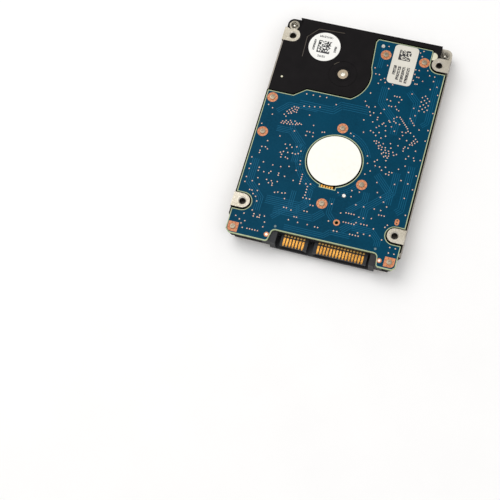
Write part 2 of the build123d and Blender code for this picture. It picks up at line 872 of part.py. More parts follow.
with BuildPart() as suspensions:
    for level in suspension_levels:
        with BuildSketch(Plane.XY.offset(level)):
            taper(parked, 18.6, 2.2, 33.4, 0.7)
            taper(parked, 33.3, 0.3, 35.4, 0.3)
            taper(parked, 22.5, 0.9, 27.0, 0.5, Mode.SUBTRACT)
        extrude(amount=suspension_thickness)
save(suspensions, "suspensions")

with BuildPart() as head_sliders:
    for slider_low, slider_high in slider_levels:
        with BuildSketch(Plane.XY.offset(slider_low)):
            taper(parked, 31.8, 0.5, 33.0, 0.5)
        extrude(amount=slider_high - slider_low)
save(head_sliders, "head_sliders")

with BuildPart() as preamp_flex:
    with BuildSketch(Plane.XY.offset(1.8)):
        sector(pivot, arm_hub_radius, arm_hub_radius + 0.25, 72, 25)
    extrude(amount=3.8)
    with BuildSketch(Plane.XY.offset(2.8)):
        sector(pivot, arm_hub_radius + 0.25, arm_hub_radius + 0.7, 57, 9)
    extrude(amount=1.8)
save(preamp_flex, "preamp_flex")

with BuildPart() as flex_ribbon:
    with BuildSketch(Plane.XY.offset(2.2)):
        sector((5.6, 31.0), 7.0, 7.15, 90, 78)
    extrude(amount=3.4)
save(flex_ribbon, "flex_ribbon")

with BuildPart() as flex_bracket:
    with BuildSketch(Plane.XY.offset(3.2)):
        with Locations((15.9, 31.6)):
            RectangleRounded(6.0, 9.4, 0.8)
    extrude(amount=disc_floor - 3.2)
save(flex_bracket, "flex_bracket")

# Magnet circuit of the voice coil: a yoke and a magnet on each side of the coil
magnet_circuit = {
    "cover_yoke": (cover_yoke_level, yoke_thickness, yoke_plan),
    "cover_magnet": (cover_yoke_level + yoke_thickness, magnet_thickness, magnet_plan),
    "base_magnet": (base_yoke_level - magnet_thickness, magnet_thickness, magnet_plan),
    "base_yoke": (base_yoke_level, yoke_thickness, yoke_plan),
}
for slab_name, (slab_low, slab_thickness, (slab_inner, slab_outer, slab_half)) in magnet_circuit.items():
    with BuildPart() as slab:
        with BuildSketch(Plane.XY.offset(slab_low)):
            sector(pivot, slab_inner, slab_outer, yoke_angle, slab_half)
            with Locations((pivot[0], 50.0)):
                Rectangle(60.0, 4.0, mode=Mode.SUBTRACT)
        extrude(amount=slab_thickness)
    save(slab, slab_name)

with BuildPart() as yoke_posts:
    with BuildSketch(Plane.XY.offset(cover_yoke_level + yoke_thickness)):
        disc([polar(pivot, 21.7, angle) for angle in (119, 136, 154)], 0.9)
    extrude(amount=base_yoke_level - cover_yoke_level - yoke_thickness)
save(yoke_posts, "yoke_posts")

post_bottom = 3.4
with BuildPart() as crash_stops:
    with BuildSketch(Plane.XY.offset(post_bottom)):
        disc((polar(pivot, 15.0, 84.5), polar(pivot, 15.0, 187.5)), 1.0)
    extrude(amount=disc_floor - post_bottom)
save(crash_stops, "crash_stops")

with BuildPart() as load_ramp:
    with BuildSketch(Plane.XY.offset(ramp_low)):
        sector(pivot, 36.2, 39.2, ramp_angle, ramp_half)
        disc((ramp_fixing,), ramp_screw_radius, Mode.SUBTRACT)
    extrude(amount=disc_floor - ramp_low)
    for tine_low, tine_high in ((ramp_low, 3.15), (4.25, 5.55)):
        with BuildSketch(Plane.XY.offset(tine_low)):
            sector(pivot, 33.9, 36.4, ramp_angle, ramp_half)
        extrude(amount=tine_high - tine_low)
save(load_ramp, "load_ramp")

ramp_screw_head = 0.5
with BuildPart() as ramp_screw:
    with BuildSketch(Plane.XY.offset(ramp_low - ramp_screw_head)):
        disc((ramp_fixing,), 1.1)
    extrude(amount=ramp_screw_head)
    with BuildSketch(Plane.XY.offset(ramp_low)):
        disc((ramp_fixing,), ramp_screw_radius)
    extrude(amount=6.9 - ramp_low)
save(ramp_screw, "ramp_screw")

# ---------------------------------------------------------------- air path and latch
with BuildPart() as recirculation_filter:
    with BuildSketch(Plane.XY.offset(2.4)):
        with Locations((-24.4, 15.1)):
            Rectangle(5.0, 1.8, rotation=-45)
    extrude(amount=disc_floor - 2.4)
save(recirculation_filter, "recirculation_filter")

with BuildPart() as breather_filter:
    with BuildSketch(Plane.XY.offset(rim + 0.1)):
        disc((breather,), breather_radius - 0.1)
    extrude(amount=2.8)
save(breather_filter, "breather_filter")

with BuildPart() as desiccant_tray:
    with BuildSketch(Plane.XY.offset(2.6)):
        with Locations((20.5, 45.0)):
            RectangleRounded(9.0, 4.0, 0.6)
    extrude(amount=disc_floor - 2.6)
save(desiccant_tray, "desiccant_tray")

latch_place = (-28.6, 21.5)
with BuildPart() as latch_pin:
    with BuildSketch(Plane.XY.offset(post_bottom)):
        disc((latch_place,), 0.6)
    extrude(amount=disc_floor - post_bottom)
save(latch_pin, "latch_pin")

with BuildPart() as latch_lever:
    with BuildSketch(Plane.XY.offset(coil_level[0])):
        disc((latch_place,), 1.3)
        outline(((-29.3, 21.5), (-29.2, 26.2), (-28.2, 26.9), (-27.9, 26.3), (-28.3, 25.6), (-28.0, 21.5)))
        outline(((-29.4, 21.3), (-28.6, 18.7), (-26.9, 19.4), (-27.6, 21.7)))
        disc((latch_place,), 0.65, Mode.SUBTRACT)
    extrude(amount=1.4)
save(latch_lever, "latch_lever")
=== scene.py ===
"""Looks of a 2.5 inch disk drive lying on its label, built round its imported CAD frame."""

import json
import logging
import math
import random
from dataclasses import dataclass, field
from enum import Enum
from typing import Callable, Sequence

import bpy
from mathutils import Matrix, Vector


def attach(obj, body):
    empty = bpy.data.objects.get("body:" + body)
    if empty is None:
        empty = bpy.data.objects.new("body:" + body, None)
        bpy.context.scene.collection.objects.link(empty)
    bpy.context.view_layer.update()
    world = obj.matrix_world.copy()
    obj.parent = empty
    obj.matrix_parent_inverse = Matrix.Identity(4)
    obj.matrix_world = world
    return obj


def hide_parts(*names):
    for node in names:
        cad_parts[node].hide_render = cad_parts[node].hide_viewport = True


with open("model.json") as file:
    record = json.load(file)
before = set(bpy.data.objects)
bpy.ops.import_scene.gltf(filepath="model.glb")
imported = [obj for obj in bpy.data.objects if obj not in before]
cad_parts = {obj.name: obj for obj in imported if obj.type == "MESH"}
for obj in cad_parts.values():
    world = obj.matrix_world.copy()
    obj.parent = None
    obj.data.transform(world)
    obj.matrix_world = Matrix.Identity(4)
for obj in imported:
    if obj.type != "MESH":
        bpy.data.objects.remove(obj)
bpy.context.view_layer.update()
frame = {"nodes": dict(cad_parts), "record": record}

MM = 0.001
ROOT = "enclosure"
Point = tuple[float, float]
Triple = tuple[float, float, float]
log = logging.getLogger("disk_drive")


# ---------------------------------------------------------------- finishes


class Slot(Enum):
    """The record's material slots that the new pieces are handed over with."""

    CASTING = "black_casting"
    COVER_SCREW = "screw_brass"
    BOARD_SCREW = "screw_steel"
    LABEL = "label_paper"
    MASK = "solder_mask"
    HOUSING = "connector_plastic"
    CONTACT = "contact_gold"


class Pattern(Enum):
    """The regular texture that a finish has under its fine noise."""

    MOTTLE = "mottle"
    TURNED = "turned"
    LAYERS = "layers"
    WEAVE = "weave"
    CELLS = "cells"


def linear(colour: str) -> tuple[float, float, float, float]:
    """Turns a written colour into the values a shader takes.

    Args:
        colour: Six hexadecimal digits after a hash.

    Returns:
        Red, green, blue and alpha in linear light.
    """
    parts = [int(colour[at : at + 2], 16) / 255 for at in (1, 3, 5)]
    red, green, blue = [
        c / 12.92 if c <= 0.04045 else ((c + 0.055) / 1.055) ** 2.4 for c in parts
    ]
    return red, green, blue, 1.0


FINE_DETAIL = 6.0
BROAD_DETAIL = 3.0
BROAD_TO_FINE = 14.0
NOISE_MIDDLE = (0.32, 0.68)


@dataclass(frozen=True)
class Finish:
    """One surface finish, with every size in millimetres.

    The colour and its darker or lighter shade mix in broad patches and in the relief. The grain is
    the width of the fine noise, and the pitch that of the regular pattern.
    """

    name: str
    colour: str
    shade: str
    metallic: float = 0.0
    roughness: Point = (0.4, 0.5)
    grain: float = 0.5
    bump: float = 0.005
    stretch: Triple = (1.0, 1.0, 1.0)
    pattern: Pattern = Pattern.MOTTLE
    centre: Point = (0.0, 0.0)
    pitch: float = 1.0
    gloss: float = 0.5

    def make(self) -> bpy.types.Material:
        """Builds the material, or finds it if it is already made.

        Returns:
            The node material of this finish.
        """
        known = bpy.data.materials.get(self.name)
        if known:
            return known
        material = bpy.data.materials.new(self.name)
        material.use_nodes = True
        tree = material.node_tree
        shader = tree.nodes["Principled BSDF"]
        shader.inputs["Metallic"].default_value = self.metallic
        shader.inputs["Specular IOR Level"].default_value = self.gloss
        place = self._placed(tree)
        fine = self._noise(tree, place, self.grain, FINE_DETAIL)
        broad = self._noise(tree, place, BROAD_TO_FINE * self.grain, BROAD_DETAIL)
        relief = self._relief(tree, place, fine)
        tone = tree.nodes.new("ShaderNodeMix")
        tone.data_type = "RGBA"
        tone.inputs["A"].default_value = linear(self.colour)
        tone.inputs["B"].default_value = linear(self.shade)
        blend = tree.nodes.new("ShaderNodeMath")
        blend.operation = "MULTIPLY"
        tree.links.new(self._spread(tree, broad, 0.25, 1.0), blend.inputs[0])
        tree.links.new(self._spread(tree, relief, 0.3, 1.0), blend.inputs[1])
        tree.links.new(blend.outputs[0], tone.inputs["Factor"])
        tree.links.new(tone.outputs["Result"], shader.inputs["Base Color"])
        low, high = self.roughness
        tree.links.new(self._spread(tree, fine, low, high), shader.inputs["Roughness"])
        lift = tree.nodes.new("ShaderNodeBump")
        lift.inputs["Distance"].default_value = self.bump * MM
        tree.links.new(relief, lift.inputs["Height"])
        tree.links.new(lift.outputs["Normal"], shader.inputs["Normal"])
        return material

    def _placed(self, tree: bpy.types.NodeTree) -> bpy.types.NodeSocket:
        """Gives object coordinates in millimetres about the finish's centre.

        Args:
            tree: The material's nodes.

        Returns:
            The coordinates, stretched where the finish is.
        """
        coords = tree.nodes.new("ShaderNodeTexCoord")
        mapping = tree.nodes.new("ShaderNodeMapping")
        mapping.inputs["Scale"].default_value = Vector(self.stretch) / MM
        mapping.inputs["Location"].default_value = (
            -self.centre[0] * self.stretch[0],
            -self.centre[1] * self.stretch[1],
            0.0,
        )
        tree.links.new(coords.outputs["Object"], mapping.inputs["Vector"])
        return mapping.outputs["Vector"]

    def _noise(
        self, tree: bpy.types.NodeTree, place: bpy.types.NodeSocket, size: float, detail: float
    ) -> bpy.types.NodeSocket:
        """Adds noise whose patches are about the given size.

        Args:
            tree: The material's nodes.
            place: Coordinates in millimetres.
            size: The width of a patch.
            detail: How many finer layers the noise has.

        Returns:
            A value from 0 to 1.
        """
        noise = tree.nodes.new("ShaderNodeTexNoise")
        noise.inputs["Scale"].default_value = 1.0 / size
        noise.inputs["Detail"].default_value = detail
        tree.links.new(place, noise.inputs["Vector"])
        return noise.outputs["Fac"]

    def _wave(
        self, tree: bpy.types.NodeTree, place: bpy.types.NodeSocket, kind: str, way: str
    ) -> bpy.types.NodeSocket:
        """Adds a wave of this finish's pitch.

        Args:
            tree: The material's nodes.
            place: Coordinates in millimetres.
            kind: RINGS or BANDS.
            way: The axis of the rings, or the one that the bands follow each other along.

        Returns:
            A value from 0 to 1.
        """
        wave = tree.nodes.new("ShaderNodeTexWave")
        wave.wave_type = kind
        if kind == "RINGS":
            wave.rings_direction = way
        else:
            wave.bands_direction = way
        wave.inputs["Scale"].default_value = 2 * math.pi / (20 * self.pitch)
        wave.inputs["Distortion"].default_value = 0.4
        wave.inputs["Detail"].default_value = 2.0
        tree.links.new(place, wave.inputs["Vector"])
        return wave.outputs["Fac"]

    def _relief(
        self, tree: bpy.types.NodeTree, place: bpy.types.NodeSocket, fine: bpy.types.NodeSocket
    ) -> bpy.types.NodeSocket:
        """Gives the height that the bump and the shading follow.

        Args:
            tree: The material's nodes.
            place: Coordinates in millimetres.
            fine: The finish's fine noise.

        Returns:
            A value from 0 to 1.
        """
        if self.pattern is Pattern.MOTTLE:
            return fine
        if self.pattern is Pattern.CELLS:
            cells = tree.nodes.new("ShaderNodeTexVoronoi")
            cells.inputs["Scale"].default_value = 1.0 / self.pitch
            tree.links.new(place, cells.inputs["Vector"])
            first = cells.outputs["Distance"]
        elif self.pattern is Pattern.TURNED:
            first = self._wave(tree, place, "RINGS", "Z")
        else:
            first = self._wave(tree, place, "BANDS", "Z" if self.pattern is Pattern.LAYERS else "X")
        second = fine
        if self.pattern is Pattern.WEAVE:
            second = self._wave(tree, place, "BANDS", "Y")
        both = tree.nodes.new("ShaderNodeMath")
        both.operation = "MULTIPLY"
        half = tree.nodes.new("ShaderNodeMath")
        half.operation = "ADD"
        half.inputs[1].default_value = 0.45
        tree.links.new(second, half.inputs[0])
        tree.links.new(first, both.inputs[0])
        tree.links.new(half.outputs[0], both.inputs[1])
        return both.outputs[0]

    def _spread(
        self, tree: bpy.types.NodeTree, value: bpy.types.NodeSocket, low: float, high: float
    ) -> bpy.types.NodeSocket:
        """Stretches the middle of a noise over a range of values.

        Args:
            tree: The material's nodes.
            value: The noise.
            low: What the lower end becomes.
            high: What the upper end becomes.

        Returns:
            The stretched value.
        """
        spread = tree.nodes.new("ShaderNodeMapRange")
        spread.inputs["From Min"].default_value = NOISE_MIDDLE[0]
        spread.inputs["From Max"].default_value = NOISE_MIDDLE[1]
        spread.inputs["To Min"].default_value = low
        spread.inputs["To Max"].default_value = high
        tree.links.new(value, spread.inputs["Value"])
        return spread.outputs["Result"]


SPINDLE: Point = (0.15, -10.8)
PIVOT: Point = (-6.2, 27.5)

BLACK_COAT = Finish("black_coat", "#100E0F", "#191617", 0.0, (0.42, 0.58), 0.3, 0.006, gloss=0.07)
BARE_METAL = Finish("bare_casting_metal", "#C6BFB1", "#99917F", 0.8, (0.28, 0.46), 0.5, 0.006)
MASK_GREEN = Finish(
    "teal_solder_mask", "#00415A", "#00364C", 0.0, (0.3, 0.42), 0.8, 0.003, gloss=0.04
)
MASK_TRACE = Finish(
    "mask_over_trace", "#00597A", "#00506E", 0.0, (0.3, 0.4), 0.6, 0.002, gloss=0.1
)
SUBSTRATE = Finish("glass_substrate", "#BCC79F", "#98A67C", 0.0, (0.5, 0.65), 0.2, 0.004)
COPPER = Finish("plated_copper_pad", "#DA8D5E", "#B56A3E", 0.15, (0.34, 0.5), 0.4, 0.004)
VIA_TIN = Finish("via_ring", "#F2CDB2", "#C98F84", 0.1, (0.35, 0.5), 0.25, 0.003)
EYE_BROWN = Finish("pad_eye", "#8F5334", "#6E3F28", 0.1, (0.4, 0.6), 0.1, 0.002)
# Painted shade: dark brown for the shade inside the via bores and the capsule's holes.
VIA_HOLE_SHADE = Finish("via_hole_shade", "#4A3330", "#2E2322", 0.1, (0.5, 0.7), 0.1, 0.002)
# Bright tin on the pegs; on the recess floors of the screws and the pivot's cap the same colour is a
# painted highlight.
TIN_AND_HIGHLIGHT = Finish("tin_and_painted_highlight", "#E9E6DC", "#C2BEB2", 0.7, (0.2, 0.36), 0.3, 0.004)
GOLD = Finish("contact_gold_plate", "#CF9642", "#8E5E22", 0.8, (0.2, 0.34), 0.5, 0.002)
HOUSING = Finish("dark_nylon", "#2C2C2F", "#1E1E20", 0.0, (0.42, 0.56), 0.25, 0.006, gloss=0.3)
# Painted shade: near-black that stands in for the shade in gaps, on the strips beside the corner
# shelves, the seal disc's wall and the connector's grooves.
GAP_SHADE_BLACK = Finish("painted_gap_shade", "#141415", "#1B1B1C", 0.0, (0.6, 0.75), 0.3, 0.004)
PAPER = Finish("sticker_paper", "#F5F4F0", "#E9E7E1", 0.0, (0.45, 0.6), 0.35, 0.003)
SATIN_LABEL = Finish("label_film", "#F3F2EE", "#E7E5E0", 0.0, (0.34, 0.46), 1.2, 0.004)
INK = Finish("printed_ink", "#141416", "#232326", 0.0, (0.4, 0.55), 0.2, 0.002)
GREY_INK = Finish("grey_ink", "#77777B", "#8A8A8E", 0.0, (0.4, 0.55), 0.2, 0.002)
COVER_METAL = Finish(
    "nickel_cover", "#BDB3A2", "#ADA293", 0.8, (0.26, 0.4), 0.35, 0.004, (1.0, 0.15, 1.0)
)
SCREW_BRASS = Finish("yellow_zinc", "#C3AC74", "#9A8354", 0.85, (0.25, 0.4), 0.3, 0.004)
SCREW_STEEL = Finish("warm_steel", "#AF9F87", "#7F7160", 0.6, (0.24, 0.42), 0.3, 0.004)
WHITE_DISC = Finish("motor_disc", "#FBFAF1", "#F4F2E8", 0.0, (0.42, 0.55), 1.6, 0.004)
CREAM = Finish("cream_rubber", "#E2DEC4", "#CFCAAE", 0.0, (0.55, 0.7), 0.3, 0.006)
CREAM_PAPER = Finish("cream_sticker", "#DDD9CD", "#CFCABD", 0.0, (0.45, 0.6), 0.35, 0.003)
HOLE_METAL = Finish("bright_hole_wall", "#EDE8DC", "#B8AFA1", 0.85, (0.16, 0.3), 0.3, 0.006)
# Bare side metal whose colour is raised lighter as painted light, for the light that the side walls
# catch.
SIDE_METAL = Finish("side_metal_painted_light", "#B0A698", "#6E665C", 0.5, (0.35, 0.5), 0.3, 0.01,
                    pattern=Pattern.LAYERS, pitch=1.3)
# Painted shade: a darker copy of the hole-wall metal for the walls deep in the holes.
DEEP_SHADE_METAL = Finish("deep_hole_wall_shade", "#5B554D", "#38332E", 0.6, (0.3, 0.5), 0.3, 0.01,
                    pattern=Pattern.LAYERS, pitch=0.45)
RUBBED_LINE = Finish("rubbed_line", "#5A5043", "#3A342D", 0.1, (0.4, 0.55), 0.3, 0.004)
FIDUCIAL = Finish("fiducial_grey", "#6F7F80", "#586A6C", 0.2, (0.4, 0.5), 0.2, 0.002)
# Painted highlight: a brighter copy of the contact gold for the roots' bright tops.
ROOT_HIGHLIGHT_GOLD = Finish("root_painted_highlight", "#F6CE80", "#DDA648", 0.5, (0.25, 0.4), 0.2, 0.003)
FLOOR = Finish("studio_floor", "#FBFAF9", "#F8F7F6", 0.0, (0.8, 0.9), 30.0, 0.001)

CARRIED: dict[str, Finish] = {
    "cover_metal": COVER_METAL,
    "foam_gasket": Finish("black_foam", "#232324", "#333335", 0.0, (0.8, 0.95), 0.2, 0.03,
                          pattern=Pattern.CELLS, pitch=0.3),
    "screw_brass": SCREW_BRASS,
    "screw_steel": SCREW_STEEL,
    "label_paper": PAPER,
    "seal_foil": Finish("seal_foil", "#D6D3CC", "#B4B0A8", 0.7, (0.2, 0.4), 0.8, 0.02),
    "black_film": Finish("black_film", "#18181A", "#242427", 0.0, (0.3, 0.42), 0.5, 0.003),
    "chip_resin": Finish("chip_resin", "#1B1B1D", "#29292B", 0.0, (0.5, 0.65), 0.15, 0.006),
    "component_ceramic": Finish("ceramic_part", "#A98F72", "#8A7258", 0.0, (0.35, 0.5), 0.2, 0.004),
    "machined_metal": Finish("turned_alloy", "#CFCCC6", "#B1AEA8", 0.95, (0.18, 0.32), 0.4, 0.003,
                             pattern=Pattern.TURNED, centre=SPINDLE, pitch=0.12),
    "hardened_steel": Finish("ground_steel", "#B9B9BA", "#8F8F92", 0.95, (0.12, 0.26), 0.3, 0.002,
                             pattern=Pattern.TURNED, centre=PIVOT, pitch=0.1),
    "connector_plastic": HOUSING,
    "contact_gold": GOLD,
    "laminated_steel": Finish("stator_laminations", "#7D7F86", "#55575D", 0.8, (0.35, 0.5), 0.3,
                              0.02, pattern=Pattern.LAYERS, pitch=0.2),
    "copper_winding": Finish("enamelled_wire", "#B5622F", "#7E3D1B", 0.6, (0.25, 0.4), 0.2, 0.03,
                             pattern=Pattern.LAYERS, pitch=0.14),
    "white_disc": WHITE_DISC,
    "platter_mirror": Finish("platter_mirror", "#C9C8C6", "#BDBCBA", 1.0, (0.03, 0.06), 2.0,
                             0.0005, pattern=Pattern.TURNED, centre=SPINDLE, pitch=0.9),
    "magnet_plating": Finish("magnet_nickel", "#BEBDB8", "#A2A19C", 0.9, (0.22, 0.36), 0.6, 0.004),
    "yoke_plating": Finish("yoke_nickel", "#C4C2BB", "#A9A7A0", 0.9, (0.2, 0.34), 0.8, 0.004),
    "spring_steel": Finish("suspension_steel", "#BFBDB8", "#9B9995", 0.95, (0.16, 0.3), 0.3, 0.002,
                           (1.0, 0.2, 1.0)),
    "slider_ceramic": Finish("slider_ceramic", "#26262A", "#3A3A40", 0.1, (0.2, 0.32), 0.1, 0.002),
    "flex_film": Finish("amber_polyimide", "#B86A1E", "#8C4B12", 0.0, (0.28, 0.42), 0.6, 0.004,
                        pattern=Pattern.WEAVE, pitch=0.5),
    "coil_resin": Finish("coil_resin", "#23301F", "#33422C", 0.0, (0.4, 0.55), 0.3, 0.006),
    "stop_rubber": Finish("stop_rubber", "#202021", "#2E2E30", 0.0, (0.7, 0.85), 0.3, 0.008),
    "filter_cloth": Finish("filter_cloth", "#EDECE6", "#D5D3CB", 0.0, (0.85, 0.95), 0.3, 0.04,
                           pattern=Pattern.WEAVE, pitch=0.35),
    "tray_plastic": Finish("tray_plastic", "#D9D8D2", "#C5C4BD", 0.0, (0.4, 0.55), 0.4, 0.006),
}


def dress(piece: bpy.types.Object, *finishes: Finish) -> None:
    """Gives a piece its finishes.

    Args:
        piece: A new piece or a CAD node.
        finishes: One finish for each of its material numbers.
    """
    piece.data.materials.clear()
    for finish in finishes:
        piece.data.materials.append(finish.make())


# ---------------------------------------------------------------- modelling tools


class Part(Enum):
    """What an edit selects."""

    VERTEX = "VERT"
    EDGE = "EDGE"
    FACE = "FACE"


class Facing(Enum):
    """The side that a flat print faces, as its turn about X."""

    UP = 0.0
    DOWN = math.pi
    BACK = -math.pi / 2


def release() -> None:
    """Leaves edit mode and deselects everything."""
    if bpy.context.object and bpy.context.object.mode != "OBJECT":
        bpy.ops.object.mode_set(mode="OBJECT")
    bpy.ops.object.select_all(action="DESELECT")


def take(piece: bpy.types.Object) -> None:
    """Makes a piece the only selected one.

    Args:
        piece: The piece.
    """
    release()
    piece.select_set(True)
    bpy.context.view_layer.objects.active = piece


def pick(
    piece: bpy.types.Object, part: Part, wanted: Callable[[Vector, Vector], bool]
) -> None:
    """Selects some of a piece's geometry and leaves the piece in edit mode.

    Args:
        piece: The piece to edit.
        part: Whether vertices, edges or faces are selected.
        wanted: Takes a place in millimetres and a normal or direction.
    """
    take(piece)
    bpy.ops.object.mode_set(mode="EDIT")
    bpy.ops.mesh.select_mode(type=part.value)
    bpy.ops.mesh.select_all(action="DESELECT")
    bpy.ops.object.mode_set(mode="OBJECT")
    mesh = piece.data
    if part is Part.FACE:
        for face in mesh.polygons:
            face.select = wanted(face.center / MM, face.normal)
    elif part is Part.EDGE:
        for edge in mesh.edges:
            one, two = (mesh.vertices[v].co for v in edge.vertices)
            edge.select = wanted((one + two) / 2 / MM, (two - one).normalized())
    else:
        for vertex in mesh.vertices:
            vertex.select = wanted(vertex.co / MM, vertex.normal)
    bpy.ops.object.mode_set(mode="EDIT")


def settle(piece: bpy.types.Object, name: str) -> bpy.types.Object:
    """Names a piece and puts its place into its mesh.

    Args:
        piece: The piece, at any place or turn.
        name: Its name from now on.

    Returns:
        The same piece, at the origin.
    """
    take(piece)
    bpy.ops.object.transform_apply(location=True, rotation=True, scale=True)
    piece.name = name
    piece.data.name = name
    return piece


def drum(
    name: str, centre: Point, radius: float, low: float, high: float, sides: int = 48
) -> bpy.types.Object:
    """Models an upright cylinder between two heights.

    Args:
        name: The piece's name.
        centre: Where its axis stands.
        radius: Its radius.
        low: The height of its lower face.
        high: The height of its upper face.
        sides: How many sides stand for the round.

    Returns:
        The cylinder.
    """
    release()
    bpy.ops.mesh.primitive_cylinder_add(
        vertices=sides,
        radius=radius * MM,
        depth=(high - low) * MM,
        location=(centre[0] * MM, centre[1] * MM, (low + high) / 2 * MM),
    )
    return settle(bpy.context.object, name)


def block(name: str, low: Triple, high: Triple, turn: float = 0.0) -> bpy.types.Object:
    """Models a box between two corners, turned about its own upright axis.

    Args:
        name: The piece's name.
        low: The corner with the lowest x, y and z.
        high: The opposite corner.
        turn: The turn about the box's middle in radians.

    Returns:
        The box.
    """
    release()
    first, last = Vector(low), Vector(high)
    bpy.ops.mesh.primitive_cube_add(
        size=1.0, location=(first + last) / 2 * MM, rotation=(0.0, 0.0, turn)
    )
    bpy.context.object.scale = (last - first) * MM
    return settle(bpy.context.object, name)


def soften(
    piece: bpy.types.Object,
    width: float,
    wanted: Callable[[Vector, Vector], bool],
    segments: int = 2,
) -> None:
    """Rounds some of a piece's edges.

    Args:
        piece: The piece.
        width: How far the round reaches from the edge.
        wanted: Picks the edges by their middle and their direction.
        segments: How many facets the round has.
    """
    pick(piece, Part.EDGE, wanted)
    bpy.ops.mesh.bevel(offset=width * MM, segments=segments, profile=0.5)
    release()


def washer(
    name: str, outer: float, inner: float, low: float, high: float, sides: int = 48
) -> bpy.types.Object:
    """Models a ring with a square section, upright at the origin.

    Args:
        name: The piece's name.
        outer: Its outer radius.
        inner: The radius of its hole.
        low: The height of its lower face.
        high: The height of its upper face.
        sides: How many sides stand for the round.

    Returns:
        The ring.
    """
    ring = drum(name, (0.0, 0.0), outer, low, high, sides)
    pick(ring, Part.FACE, lambda place, normal: abs(normal.z) > 0.9)
    bpy.ops.mesh.inset(thickness=(outer - inner) * MM, use_individual=True)
    bpy.ops.mesh.delete(type="FACE")
    pick(ring, Part.EDGE, lambda place, way: math.hypot(place.x, place.y) < inner + 0.02)
    bpy.ops.mesh.bridge_edge_loops()
    release()
    return ring


def join(pieces: Sequence[bpy.types.Object], name: str) -> bpy.types.Object:
    """Joins pieces into one.

    Args:
        pieces: One or more pieces.
        name: The joined piece's name.

    Returns:
        The joined piece.
    """
    take(pieces[0])
    for piece in pieces:
        piece.select_set(True)
    if len(pieces) > 1:
        bpy.ops.object.join()
    return settle(bpy.context.object, name)


def repeat(
    master: bpy.types.Object, places: Sequence[Sequence[float]], name: str
) -> bpy.types.Object:
    """Copies a piece modelled at the origin to several places.

    Args:
        master: The piece to copy. It is used up.
        places: For each copy x, y and, where it is turned, its angle in degrees.
        name: The name of the joined copies.

    Returns:
        All copies as one piece.
    """
    twins = []
    for x, y, *angle in places:
        twin = bpy.data.objects.new(name, master.data.copy())
        twin.location = (x * MM, y * MM, 0.0)
        twin.rotation_euler.z = math.radians(angle[0]) if angle else 0.0
        bpy.context.collection.objects.link(twin)
        twins.append(twin)
    bpy.data.objects.remove(master)
    return join(twins, name)


def thicken(piece: bpy.types.Object, thickness: float) -> None:
    """Gives a flat sheet its thickness, half to each side.

    Args:
        piece: The sheet.
        thickness: How thick it becomes.
    """
    take(piece)
    wall = piece.modifiers.new("wall", "SOLIDIFY")
    wall.thickness = thickness * MM
    wall.offset = 0.0
    bpy.ops.object.modifier_apply(modifier="wall")
    bpy.ops.object.mode_set(mode="EDIT")
    bpy.ops.mesh.select_all(action="SELECT")
    bpy.ops.mesh.normals_make_consistent(inside=False)
    release()


def node_copy(node: str, name: str) -> bpy.types.Object:
    """Copies a CAD node's shape into a new piece, with its doubles merged.

    Args:
        node: The CAD node's name.
        name: The new piece's name.

    Returns:
        The new piece.
    """
    piece = bpy.data.objects.new(name, frame["nodes"][node].data.copy())
    bpy.context.collection.objects.link(piece)
    take(piece)
    bpy.ops.mesh.customdata_custom_splitnormals_clear()
    bpy.ops.object.mode_set(mode="EDIT")
    bpy.ops.mesh.select_all(action="SELECT")
    bpy.ops.mesh.remove_doubles(threshold=0.001 * MM)
    release()
    return piece


def smooth(piece: bpy.types.Object, angle: float = 35.0) -> None:
    """Shades a piece smoothly except across sharp edges.

    Args:
        piece: The piece.
        angle: The angle in degrees past which an edge stays sharp.
    """
    take(piece)
    bpy.ops.object.shade_smooth_by_angle(angle=math.radians(angle))
    release()


def hand_over(
    piece: bpy.types.Object, slot: Slot, *finishes: Finish, replaced: str = ""
) -> None:
    """Dresses a finished piece, makes it ride on the case and hides the CAD node that it stands for.

    Args:
        piece: The finished piece.
        slot: Not used.
        finishes: One finish for each of its material numbers, if it isn't dressed yet.
        replaced: The CAD node that it stands for, if there is one.
    """
    if finishes:
        dress(piece, *finishes)
    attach(piece, ROOT)
    if replaced:
        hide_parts(replaced)
    log.info("%s: %d faces", piece.name, len(piece.data.polygons))


@dataclass
class Print:
    """Flat ink of small cells: a square code, a row of word-like marks or a bar code.

    The share of cells that carry ink is kept. A column in every few is left blank in a row of
    marks, a bar code has one cell over its whole height, and a square code has two full sides.
    """

    centre: Triple
    size: Point
    columns: int
    rows: int
    kept: float = 0.5
    gap_every: int = 0
    facing: Facing = Facing.UP
    seed: int = 1
    bars: bool = False
    thickness: float = 0.006

    def build(self, name: str) -> bpy.types.Object:
        """Models the ink from a grid whose unwanted cells are taken out.

        Args:
            name: The piece's name.

        Returns:
            The ink, with its thickness.
        """
        release()
        bpy.ops.mesh.primitive_grid_add(
            x_subdivisions=self.columns, y_subdivisions=self.rows, size=1.0
        )
        piece = bpy.context.object
        chance = random.Random(self.seed)
        drawn = {
            (column, row): chance.random() < self.kept
            for column in range(self.columns)
            for row in range(self.rows)
        }

        def empty(place: Vector, _: Vector) -> bool:
            """Says whether a cell carries no ink.

            Args:
                place: The cell's middle.

            Returns:
                True where the cell is taken out.
            """
            column = int((place.x * MM + 0.5) * self.columns)
            row = int((place.y * MM + 0.5) * self.rows)
            if self.gap_every and column % self.gap_every == self.gap_every - 1:
                return True
            if self.gap_every == 0 and not self.bars and (column == 0 or row == 0):
                return False
            return not drawn[column, 0 if self.bars else row]

        pick(piece, Part.FACE, empty)
        bpy.ops.mesh.delete(type="FACE")
        release()
        piece.scale = (self.size[0] * MM, self.size[1] * MM, 1.0)
        piece.rotation_euler.x = self.facing.value
        piece.location = Vector(self.centre) * MM
        settle(piece, name)
        thicken(piece, self.thickness)
        return piece


